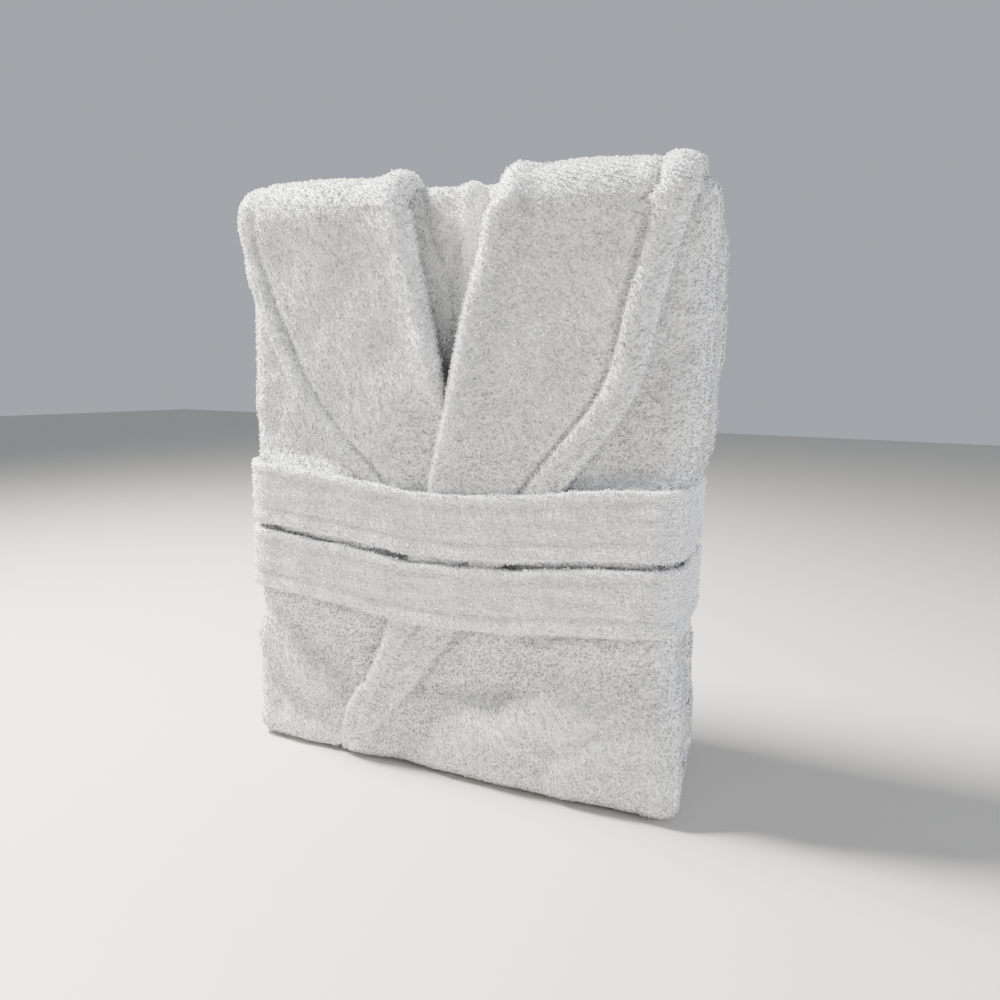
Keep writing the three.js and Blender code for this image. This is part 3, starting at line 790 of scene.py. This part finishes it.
def panel_cloth(side):
    """The outer face of one front panel, from the shoulder round the bottom fold to the rear third."""
    us = panel_rows()
    z = robe_route.at(us)[1]
    level = np.clip(z, 2, 400)
    d = side_depth(us)
    r = side_roll(us, d, side)
    flat_end = half_width(us, side) - r
    end = flat_end + r * math.pi / 2 + np.maximum(d - TUCK - r, 0) + TUCK * math.pi / 2 + 3
    on_chest = us < U_UNDER
    if side > 0:
        start = np.where(on_chest, roll_right(level) + 3.5, -82.0)
        start = np.where(us < U_FRONT, 37.0, start)
        flat = np.linspace(start, flat_end, 64, endpoint=False, axis=1)
        q = np.concatenate([flat, np.linspace(flat_end, end, 26, axis=1)], axis=1)
    else:
        below = roll_right(level) + 26 * step(236 - z, 0, 30)
        start = np.where(on_chest, np.where(z > 236, roll_left(level) - 3.5, below), -82.9)
        start = np.where(us < U_FRONT, -37.0, start)
        eased = -82.9 + (start + 82.9) * (1 - step(us, U_BOTTOM - 14, U_BOTTOM + 20))
        start = np.where(on_chest & (us > U_BOTTOM - 14), eased, start)
        turn = np.linspace(-end, -flat_end, 26, endpoint=False, axis=1)
        q = np.concatenate([turn, np.linspace(-flat_end, start, 50, axis=1)], axis=1)
    p, n, flip = fold_grid(us, q, side)
    x, height = p[:, :, 0].copy(), p[:, :, 2].copy()
    front_share = step(us, U_FRONT - 20, U_FRONT + 6)[:, None] * (1 - step(us, U_BOTTOM, U_BOTTOM + 24))[:, None]
    relief = front_relief(x, height) * front_share * step(-n[:, :, 1], 0.2, 0.8)
    relief = relief + grain_relief(p, 1000 * bpy.context.scene.bathrobe_cloth.softness, 11 if side > 0 else 14)
    if side < 0:
        dip = (on_chest & (z <= 236))[:, None]
        relief = relief - 6.6 * dip * step(x - roll_right(np.clip(height, 2, 400)), -9, 5)
    else:
        rear = ((us > U_REAR - 30) & (us < U_FOLD + 40))[:, None]
        relief = relief + 1.3 * rear * (1 - step(x, -70, -50))
    bottom_turn = np.clip((us - U_BOTTOM) / BOTTOM, 0, math.pi / 2)
    facing = step(np.maximum(-n[:, :, 1], -n[:, :, 2]), 0.15, 0.7)
    corner = 8.6 + 2.2 * bell(x, 50, 60) if side > 0 else 6.6
    relief = relief + corner * (np.sin(2 * bottom_turn) ** 2)[:, None] * facing
    press = belt_press(z[:, None], x)
    relief = relief + press * (np.minimum(relief, 7.0) - relief)
    relief = relief + 3.0 * front_share * bell(height, belt_gap(x), 3.0)
    relief = relief * (1 - 0.7 * press * step(np.abs(x), HALF - 26, HALF - 8))
    p = p + n * relief[:, :, None]
    x = p[:, :, 0].copy()
    grooves = side_grooves(x, p[:, :, 1], p[:, :, 2]) * step(np.abs(x), HALF - 8, HALF - 2)
    p[:, :, 0] = x - np.sign(x) * 4.5 * grooves
    under = (us > U_BOTTOM - 2) & (us < U_REAR + 2)
    p[under, :, 2] = np.maximum(p[under, :, 2], 1.2)
    widths = q[:, -1] - q[:, 0]
    return p, flip, (float(widths.max()) / 1000, robe_route.length / 1000), strip_area(widths, us)


def build_panel(side):
    word = WORDS[side]
    p, flip, flat, area = panel_cloth(side)
    loops = shell_loops(p, 1000 * bpy.context.scene.bathrobe_cloth.cloth, flip)
    cols = p.shape[1]
    pile = add_pile(f"{word}_front_pile", loops, -3, cols + 2, 5 if side > 0 else 6, (0.25 * side, 0, -1), flip,
                    front_seen)
    finish_cloth(f"{word}_front_cloth", loops, cols, [f"{word}_front_panel"], flat, "folded", ["back_cloth"], pile,
                 area)


def front_seen(p):
    """1 where the front panels' pile can be seen, and 0 where something lies on it."""
    x, s, z = p[..., 0], p[..., 1], p[..., 2]
    under_collar = (x < outer_right(z) - 4) & (x > outer_left(z) + 4) & (z > 110)
    under_band = (x < facing_right(z) - 4) & (x > roll_right(z) + 3) & (z < 60)
    under_low = (x < outer_right(z) - 4) & (x > roll_right(z) + 3) & (z <= 110) & (z >= 57)
    hidden = (s < 12) & (under_collar | under_band | under_low | between_turns(x, z))
    hidden |= (s > 33) & (s < 44) & (z < 335) & (z > 70) & (np.abs(x) < HALF - 8)
    return np.where(hidden, 0.0, 1.0)


class BATHROBE_OT_front_panels(Operator):
    """Both front panels, folded round the bottom and turned in at the sides"""
    bl_idname = "bathrobe.front_panels"
    bl_label = "Front panels"

    def execute(self, context):
        build_panel(1)
        build_panel(-1)
        return {"FINISHED"}


# ---- Collar -----------------------------------------------------------------------------------------
def lapel_grid(side, us, edge_in, edge_out, cols, lift, band):
    """The outer face of a strip of doubled cloth on the chest, between two lines across it."""
    z = robe_route.at(us)[1]
    on_front = us > U_FRONT
    top_z = np.where(us < U_FRONT, 400.0, np.clip(z, -2, 404))
    inner, outer = edge_in(top_z), edge_out(top_z)
    low = (1 - step(z, 90, 112)) * on_front
    if side > 0:
        inner = inner + 3.0 * step(z, CROSS_SEAM - 3, CROSS_SEAM + 5) * low
        inner = inner - 3.0 * bell(z, CROSS_SEAM - 16, 14) * on_front
    q = inner[:, None] + (outer - inner)[:, None] * np.linspace(0, 1, cols)
    if side < 0:
        q = q[:, ::-1]
    edge_gap = np.abs(q - outer[:, None]) / np.sqrt(1 + np.gradient(outer, us) ** 2)[:, None]
    roll_gap = np.abs(q - inner[:, None])
    press = belt_press(z[:, None], q) * on_front[:, None]
    crown = step(us, U_FRONT - 42, U_FRONT - 18) * (1 - step(us, U_FRONT - 12, U_FRONT + 30))
    under = step(us, U_BOTTOM - 14, U_BOTTOM + 8)
    off = lift + (4.2 * crown - 3.4 * under + 1.4 * low)[:, None] + 2.8 * bell(roll_gap, 0, 9)
    if side < 0:
        off = off - 8.4 * (on_front * step(272 - z, 0, 22))[:, None] * bell(roll_gap, 0, 20)
    if band:
        wide = HEM_BAND if side > 0 else 0.62 * HEM_BAND
        hem = 2.9 * bell(edge_gap, wide, 2.2) - 1.9 * np.sin(np.clip(edge_gap / wide, 0, 1) * math.pi)
        off = off - hem * step(z, 92, 118)[:, None]
    p, n, flip = fold_grid(us, q, side)
    x, height = p[:, :, 0], p[:, :, 2]
    chest = step(height, 196, 250) * (1 - step(height, 360, 396))
    off = off + 5.0 * chest * (1 - np.clip(np.abs(x + 6) / 135, 0, 1))
    off = off + 0.8 * ripple(p, 60, 21 + side) + 0.16 * ripple(p, 21, 23 + side) + 0.08 * ripple(p, 8, 25)
    off = off * (1 - press) + np.minimum(off, lift + 0.2) * press
    off = off + 1.6 * on_front[:, None] * bell(height, belt_gap(x), 3.0)
    if side > 0:
        off = off + 1.5 * bell(height, CROSS_SEAM + 1, 2.4) * (1 - press)
    thick = 1000 * bpy.context.scene.bathrobe_cloth.lapel + 4.2 * crown[:, None]
    thick = thick + 6.0 * bell(roll_gap, 0, 9) * step(top_z, 246, 276)[:, None]
    widths = np.abs(outer - inner)
    flat = (float(widths.max()) / 1000, float(us[-1] - us[0]) / 1000)
    return p + n * off[:, :, None], flip, flat, max(strip_area(widths, us), 0.301 * flat[0] * flat[1]), thick


def lapel_blend(word):
    """Where the lapel bends when its edge is lifted."""
    joint = next(j for j in frame["joints"] if j["name"] == f"{word}_lapel_lift")
    x, y, z = joint["pos_m"]
    ax, _, az = joint["axis"]
    low, high = ((x - reach * az, y, z + reach * ax) for reach in (-0.002, 0.010))
    return ROBE, f"{word}_lapel_edge", low, high


def build_lapel(side):
    """One lapel, from the shoulder down to the cross seam, or to its end under the belt."""
    word = WORDS[side]
    rows = rows_between([(4, robe_route.where(0, CROSS_SEAM if side > 0 else 172), 2.6)])
    lines = (roll_right, outer_right) if side > 0 else (roll_left, outer_left)
    p, flip, flat, area, thick = lapel_grid(side, rows, *lines, 54, 8.0, True)
    loops = shell_loops(p, thick, flip)
    cols = p.shape[1]
    blend = lapel_blend(word)

    def seen(q):
        x, s, z = q[..., 0], q[..., 1], q[..., 2]
        hidden = between_turns(x, z) & (s < 12)
        if side < 0:
            hidden |= (x > roll_right(z) + 6) & (z < 256)
        return np.where(hidden, 0.0, 1.0)

    lay, ribs = ((1, 0, -0.3), (0.28, 0, 0.96)) if side > 0 else ((0.9, 0, 0.45), (-0.45, 0, 0.9))
    pile = add_pile(f"{word}_lapel_pile", loops, -9, cols + 8, 15 + side, lay, flip, seen, ribs=ribs, blend=blend)
    finish_cloth(f"{word}_lapel", loops, cols, [f"{word}_collar", f"{word}_collar_edge"], flat, "folded",
                 [f"{word}_front_cloth"], pile, area, blend=blend)


class BATHROBE_OT_lapels(Operator):
    """The two lapels of the shawl collar, with their stitched hem bands"""
    bl_idname = "bathrobe.lapels"
    bl_label = "Lapels"

    def execute(self, context):
        build_lapel(1)
        build_lapel(-1)
        return {"FINISHED"}


class BATHROBE_OT_front_facing(Operator):
    """The narrow band below the collar's cross seam"""
    bl_idname = "bathrobe.front_facing"
    bl_label = "Front facing"

    def execute(self, context):
        rows = rows_between([(robe_route.where(0, CROSS_SEAM - 0.4), U_BOTTOM + 22, 2.4)])
        p, flip, flat, area, _ = lapel_grid(1, rows, roll_right, facing_right, 16, 7.4, False)
        loops = shell_loops(p, 0.9 * 1000 * context.scene.bathrobe_cloth.lapel, flip)
        cols = p.shape[1]
        pile = add_pile("right_facing_pile", loops, -3, cols + 2, 19, (0.4, 0, -0.9), flip, spread=0.95)
        finish_cloth("right_facing", loops, cols, ["right_front_facing"], (2 * flat[0], flat[1]), "folded",
                     ["right_front_cloth"], pile, 2 * area)
        return {"FINISHED"}


# ---- Neck and back ----------------------------------------------------------------------------------
back_route = Route([
    (24, TOP - 8), (18, TOP - 8, 6, 90, 180), (12, 32), (30, 24, 17.7, 180, 270), (62, 6.3),
    (63, 27, 20.7, 270, 360), (83.7, 361), (63.15, 361.7, 20.5, 0, 180), (42.6, 62)])


def plain_fold(route, spacing, half, cols):
    """A plain strip of cloth along a route, its outward normals, and whether they had to be turned."""
    s, z, ns, nz = route.at(rows_between([(0, route.length, spacing)]))
    across = half * np.linspace(-1, 1, cols)
    p = np.stack(np.broadcast_arrays(across[None, :], s[:, None], z[:, None]), axis=2)
    return p, *outward(p, ns, nz)


class BATHROBE_OT_back_and_neck(Operator):
    """The back panel, one layer in, and the collar's back inside the neck"""
    bl_idname = "bathrobe.back_and_neck"
    bl_label = "Back and neck"

    def execute(self, context):
        p, n, flip = plain_fold(back_route, 7.0, 144.0, 48)
        p = p + n * (0.35 * ripple(p, 40, 61))[:, :, None]
        finish_cloth("back_cloth", shell_loops(p, 5.2, flip), 48, ["back_panel"], (0.3, back_route.length / 1000),
                     "folded", ["left_sleeve_cloth", "right_sleeve_cloth"], [])

        neck = Route([(22, TOP - 24), (22, TOP - 10), (14.5, TOP - 4, 7.5, 0, 180), (7.5, 378), (11, 345), (12.5, 232)])
        p, n, flip = plain_fold(neck, 2.2, 46.0, 44)
        x, z, inside = p[:, :, 0], p[:, :, 2], p[:, :, 1] < 15
        relief = 0.9 * ripple(p, 34, 65) + 0.3 * ripple(p, 12, 66)
        relief -= 3.6 * near_line(x, z, [(20, 396), (15, 340), (7, 296), (3, 262)], 3.4) * inside
        relief += 3.0 * near_line(x, z, [(9, 392), (6, 330), (0, 285)], 7) * inside
        relief -= 3.0 * near_line(x, z, [(-24, 392), (-16, 340), (-6, 300)], 5) * inside
        loops = shell_loops(p + n * relief[:, :, None], 5.0, flip)
        pile = add_pile("neck_pile", loops, 0, 43, 25, (0.1, 0, -1), flip,
                        lambda q: np.where((q[..., 2] > 246) & (q[..., 1] < 24), 1.0, 0.0))
        finish_cloth("neck_cloth", loops, 44, ["neck_collar"], (0.10, 0.19), "folded", ["back_cloth"], pile)
        return {"FINISHED"}


# ---- Inner layers -----------------------------------------------------------------------------------
def build_pad(name, node, flat, slot="terry", mat=None, padded=False, shrink=0.0, wave=0.4, gap=4.0):
    """A soft layer that fills a CAD node's box, less shrink at its edges."""
    (x0, s0, z0), (x1, s1, z1) = box_mm(node)
    x0, x1, z0, z1 = x0 + shrink, x1 - shrink, z0 + shrink, z1 - shrink
    thick = s1 - s0
    inset = min(thick / 2, 12)
    p = face_grid(np.linspace(x0 + inset, x1 - inset, max(int((x1 - x0) / gap), 4)),
                  np.linspace(z1 - inset, z0 + inset, max(int((z1 - z0) / gap), 4)), s0)
    p[:, :, 1] += wave * (ripple(p, 34, len(name)) + 0.4 * ripple(p, 13, len(name) + 3)) + 0.3
    loops = shell_loops(p, thick - 0.6, float(grid_normals(p)[:, :, 1].sum()) > 0)
    if padded:
        dress(name, loops, p.shape[1], [node], slot, mat)
    else:
        finish_cloth(name, loops, p.shape[1], [node], flat, "folded", [], [], slot=slot, mat=mat)


class BATHROBE_OT_inner_layers(Operator):
    """Everything folded inside: the turned-in sides, sleeves, cuffs, hem and loops of tape"""
    bl_idname = "bathrobe.inner_layers"
    bl_label = "Inner layers"

    def execute(self, context):
        tape = cotton("tape_weave", (0.9, 0.9, 0.885), (0.78, 0.78, 0.765), loop=0.0012, bump=0.0002, sheen=0.1)
        for word in ("left", "right"):
            build_pad(f"{word}_chest_side", f"{word}_chest_fold_in", (0.13, 0.35), shrink=2.0)
            build_pad(f"{word}_sleeve_cloth", f"{word}_sleeve", (0.14, 0.2), shrink=1.0)
            build_pad(f"{word}_cuff_cloth", f"{word}_cuff", (0.14, 0.085), shrink=0.3)
            build_pad(f"{word}_skirt_side", f"{word}_skirt_fold_in", None, shrink=2.0, padded=True)
            build_pad(f"{word}_loop_tape", f"{word}_belt_loop", (0.01, 0.055), "tape", tape, wave=0.1, gap=2.0)
        build_pad("hem_cloth", "bottom_hem", (0.3, 0.03), shrink=0.3)
        (x0, s0, low), (x1, _, high) = box_mm("hanging_loop")
        x0, x1, z0 = x0 + 3.5, x1 - 3.5, low + 3.5
        line = smooth_line([(x0, high), (x0, z0 + 8), (x0 + 5, z0 + 1), (0, z0), (x1 - 5, z0 + 1), (x1, z0 + 8),
                            (x1, high)], 8)
        tangent = np.gradient(line, axis=0)
        tangent /= np.linalg.norm(tangent, axis=1)[:, None]
        across = np.linspace(-3.2, 3.2, 6)
        x = line[:, :1] - tangent[:, 1:] * across
        z = np.clip(line[:, 1:] + tangent[:, :1] * across, low, high)
        p = np.stack([x, np.full_like(x, s0 + 0.2), z], axis=2)
        loops = shell_loops(p, 2.4, float(grid_normals(p)[:, :, 1].sum()) > 0)
        finish_cloth("hanging_tape", loops, 6, ["hanging_loop"], (0.010, 0.11), "laid", ["back_cloth"], [],
                     slot="tape", mat=tape)
        return {"FINISHED"}


# ---- Pockets ----------------------------------------------------------------------------------------
class BATHROBE_OT_pockets(Operator):
    """The two patch pockets, on the rear once the robe is folded"""
    bl_idname = "bathrobe.pockets"
    bl_label = "Pockets"

    def execute(self, context):
        for side, word in WORDS.items():
            (x0, _, z0), (x1, outer, z1) = box_mm(f"{word}_pocket")
            p = face_grid(np.linspace(x0 + 2, x1 - 2, 26), np.linspace(z1 - 2, z0 + 2, 72), 0.0)
            x, z = p[:, :, 0], p[:, :, 2]
            rim = np.minimum(np.minimum(x - x0, x1 - x), z1 - z)
            face = outer - 0.2 - 1.2 * bell(rim, 5, 1.6) + 0.5 * ripple(p, 30, 71 + side)
            p[:, :, 1] = face - 1.2 * bell(z, z0 + 26, 1.8) - 1.5 * (1 - step(rim, 0, 6))
            flip = float(grid_normals(p)[:, :, 1].sum()) < 0
            loops = shell_loops(p, 4.2, flip)
            pile = add_pile(f"{word}_pocket_pile", loops, -3, 28, 75 + side, (0, 0, 1), flip, spread=1.2)
            finish_cloth(f"{word}_pocket_cloth", loops, 26, [f"{word}_pocket"], (0.062, 0.2), "laid",
                         [f"{word}_front_cloth"], pile)
        return {"FINISHED"}


# ---- Belt -------------------------------------------------------------------------------------------
class BeltRoute:
    """The belt's middle line: once round low, up behind the bundle, and once round high."""

    def __init__(self):
        (_, front, _), (side, back, _) = box_mm("belt")
        self.x = side - BELT_CLOTH / 2
        self.front = front + BELT_CLOTH / 2
        self.back = back - 1.5 * BELT_CLOTH - 0.3
        self.radius = 16.75
        self.side = self.back - self.front - 2 * self.radius
        self.across = 2 * (self.x - self.radius)
        self.bend = self.radius * math.pi / 2
        self.turn = 2 * self.side + 2 * self.across + 4 * self.bend
        self.start = self.across / 2 - 10
        self.total = 2 * self.turn - self.start + self.across / 2 - 60

    def ring(self, distance):
        """Where the belt is across and in depth, a distance round from the rear's left corner."""
        r, x, front, back = self.radius, self.x, self.front, self.back
        legs = (  # each straight leg's length, start and direction, then its corner's middle and first angle
            (self.across, -x + r, back, 1, 0, x - r, back - r, 90),
            (self.side, x, back - r, 0, -1, x - r, front + r, 0),
            (self.across, x - r, front, -1, 0, -x + r, front + r, -90),
            (self.side, -x, front + r, 0, 1, -x + r, back - r, 180))
        left = distance % self.turn
        for length, a, b, da, db, mid_a, mid_b, degrees in legs:
            if left <= length:
                return a + da * left, b + db * left
            left -= length
            if left <= self.bend:
                angle = math.radians(degrees) - left / r
                return mid_a + r * math.cos(angle), mid_b + r * math.sin(angle)
            left -= self.bend
        return -x + r, back

    def points(self, distances):
        out = []
        for distance in distances:
            x, depth = self.ring(distance)
            climb = step(distance, self.turn + 10, self.turn + self.across / 2)
            lift = step(distance, 2 * self.turn - self.side, 2 * self.turn - self.bend)
            front = depth < self.front + self.radius
            sag = BELT_SAG * (0.5 + 0.5 * math.cos(math.pi * x / self.x)) if front else 0
            out.append((x, depth + lift * (BELT_CLOTH + 0.3), BELT_LOW + climb * BELT_PITCH - sag))
        return np.array(out)


BELT_COLS = 18


def belt_grid(line, seed):
    """The belt's outer face along a line, standing upright, with its sewn edges."""
    along = np.gradient(line, axis=0)
    along /= np.linalg.norm(along, axis=1)[:, None]
    out = np.cross([0, 0, 1.0], along)
    out /= np.linalg.norm(out, axis=1)[:, None]
    up = np.cross(along, out)
    t = np.linspace(-1, 1, BELT_COLS)
    place = (BELT_WIDTH / 2 - 1.6) * t
    p = line[:, None, :] + up[:, None, :] * place[None, :, None]
    p[:, :, 2] += 0.7 * ripple(p * np.array([1, 1, 0.2]), 38, seed) * np.abs(t)
    off = BELT_CLOTH / 2 - 0.25 - 0.8 * bell(place, -10.5, 2.0) - 0.4 * bell(place, 13.5, 2.4)
    off = off + 0.5 * bell(place, -17, 4) + 0.5 * bell(place, 18, 3)
    p = p + out[:, None, :] * off[None, :, None]
    fine = 0.3 * ripple(p * np.array([0.12, 0.12, 1]), 8, seed + 3)
    fine = fine + 0.4 * ripple(p * np.array([1, 1, 0.4]), 27, seed + 5) - 0.3
    return p + out[:, None, :] * fine[:, :, None], out


def build_belt(part, node, body, line, seed, length, held, rests_on, lay, **how):
    """A length of the belt along a line, with its pile. Returns the way out of it along the line."""
    p, out = belt_grid(line, seed)
    flip = float((grid_normals(p) * out[:, None, :]).sum()) < 0
    loops = shell_loops(p, BELT_CLOTH - 0.7, flip)
    pile = add_pile(part + "_pile", loops, -4, 21, seed + 2, lay, flip, body=body, slot="belt_terry", **how)
    finish_cloth(part + "_cloth", loops, BELT_COLS, [node], (BELT_WIDTH / 1000, length), held, rests_on, pile,
                 slot="belt_terry", body=body, mat=lit_belt_cotton())
    return out


class BATHROBE_OT_belt(Operator):
    """The belt, wound twice, and its loose end"""
    bl_idname = "bathrobe.belt"
    bl_label = "Belt"

    def execute(self, context):
        route = BeltRoute()
        line = route.points(route.start + np.linspace(0, route.total, int(route.total / 3)))
        build_belt("belt", "belt", "belt_turns", line, 81, route.total / 1000, "folded",
                   ["right_lapel", "left_lapel", "right_front_cloth", "left_front_cloth"], (1, 0, -0.15),
                   ribs=(0, 0, 1), droop=0.8, spread=0.95)
        (x0, s0, z0), (x1, s1, z1) = box_mm("belt_tail")
        x = np.linspace(x0 + 2.2, x1 - 2.2, 34)
        tail = np.stack([x, np.full_like(x, (s0 + s1) / 2), (z0 + z1) / 2 - 0.6 * step(x, x[0], x[-1])], axis=1)
        out = build_belt("belt_end", "belt_tail", "belt_end", tail, 91, (x1 - x0) / 1000, "laid", ["belt_cloth"],
                         (0, 0, -1), droop=0.35, spread=1.1)
        if float(out[:, 1].mean()) < 0:
            raise RuntimeError("the belt's end faces inwards")
        return {"FINISHED"}


# ---- Stage ------------------------------------------------------------------------------------------
def aimed(name, data, side, up, back, place):
    """Puts a lamp or the camera in its place, turned this way."""
    obj = linked(name, data)
    obj.matrix_world = Matrix([[side[i], up[i], back[i], place[i]] for i in range(3)] + [[0, 0, 0, 1]])
    return obj


def area_lamp(name, place, size, power, colour):
    """A round lamp that shines on the bundle's middle."""
    lamp = bpy.data.lights.new(name, "AREA")
    lamp.shape = "DISK"
    lamp.size, lamp.energy, lamp.color = size, power, colour
    back = unit(np.array(place) - (0, 0, 0.2))
    side = unit(np.cross([0, 0, 1.0], back))
    aimed(name, lamp, side, np.cross(back, side), back, place)


CAMERA_PLACE = (202.5, -444.5, 274.8)
CAMERA_YAW, CAMERA_PITCH, CAMERA_ROLL = 20.323, 9.117, 1.345
CAMERA_LENS = 27.04
CHEST_DEPTH = -4.0
FLOOR_REACH = 4.0


class BATHROBE_OT_stage(Operator):
    """The floor, the lamps and the camera"""
    bl_idname = "bathrobe.stage"
    bl_label = "Stage"

    def execute(self, context):
        settings = context.scene.bathrobe_stage
        corners = [(FLOOR_REACH * a, FLOOR_REACH * b, 0) for a, b in ((-1, -1), (1, -1), (1, 1), (-1, 1))]
        floor = mesh_object("floor", corners, [(0, 1, 2, 3)], smooth=False)
        paint, shader = plain("floor", 0.55)
        shader.inputs["Base Color"].default_value = (*settings.floor, 1)
        floor.data.materials.append(paint)
        world = bpy.data.worlds.new("studio")
        world.use_nodes = True
        background = world.node_tree.nodes["Background"]
        background.inputs["Color"].default_value = (0.86, 0.91, 1.0, 1)
        background.inputs["Strength"].default_value = settings.sky
        context.scene.world = world
        area_lamp("key", (-0.66, -0.12, 1.03), 0.3, settings.key, (1.0, 0.975, 0.94))
        area_lamp("cool", (1.35, -0.16, 0.45), 1.0, 0.14 * settings.key, (0.86, 0.88, 1.0))
        camera = bpy.data.cameras.new("camera")
        camera.sensor_width, camera.lens, camera.clip_start = 36, CAMERA_LENS, 0.01
        yaw, pitch, roll = (math.radians(v) for v in (CAMERA_YAW, CAMERA_PITCH, CAMERA_ROLL))
        view = np.array([-math.sin(yaw) * math.cos(pitch), math.cos(yaw) * math.cos(pitch), -math.sin(pitch)])
        right = np.array([math.cos(yaw), math.sin(yaw), 0])
        up = np.cross(right, view)
        side = math.cos(roll) * right + math.sin(roll) * up
        high = -math.sin(roll) * right + math.cos(roll) * up
        place = np.array(CAMERA_PLACE) / 1000
        place[1] += FRONT_Y + CHEST_DEPTH / 1000
        context.scene.camera = aimed("camera", camera, side, high, -view, place)
        return {"FINISHED"}


class BATHROBE_PT_panel(Panel):
    """Settings and build steps of the folded bathrobe"""
    bl_label = "Folded bathrobe"
    bl_space_type = "VIEW_3D"
    bl_region_type = "UI"
    bl_category = "Bathrobe"

    def draw(self, context):
        for group in (context.scene.bathrobe_cloth, context.scene.bathrobe_pile, context.scene.bathrobe_stage):
            box = self.layout.box()
            for key in group.__annotations__:
                box.prop(group, key)
        for operator in STEPS:
            self.layout.operator(operator.bl_idname)


STEPS = (
    BATHROBE_OT_stage, BATHROBE_OT_inner_layers, BATHROBE_OT_back_and_neck, BATHROBE_OT_front_panels,
    BATHROBE_OT_lapels, BATHROBE_OT_front_facing, BATHROBE_OT_pockets, BATHROBE_OT_belt,
)
GROUPS = {"bathrobe_cloth": BathrobeCloth, "bathrobe_pile": BathrobePile, "bathrobe_stage": BathrobeStage}


def register():
    for cls in (*GROUPS.values(), *STEPS, BATHROBE_PT_panel):
        bpy.utils.register_class(cls)
    for name, cls in GROUPS.items():
        setattr(bpy.types.Scene, name, PointerProperty(type=cls))


def unregister():
    for name in GROUPS:
        delattr(bpy.types.Scene, name)
    for cls in reversed((*GROUPS.values(), *STEPS, BATHROBE_PT_panel)):
        bpy.utils.unregister_class(cls)


def main():
    register()
    tuft = tuft_object()
    tools["pile"] = scatter_tree("Terry pile", tuft)
    for operator in STEPS:
        group, name = operator.bl_idname.split(".")
        getattr(getattr(bpy.ops, group), name)()
    bpy.data.objects.remove(tuft)


if __name__ == "__main__":
    main()
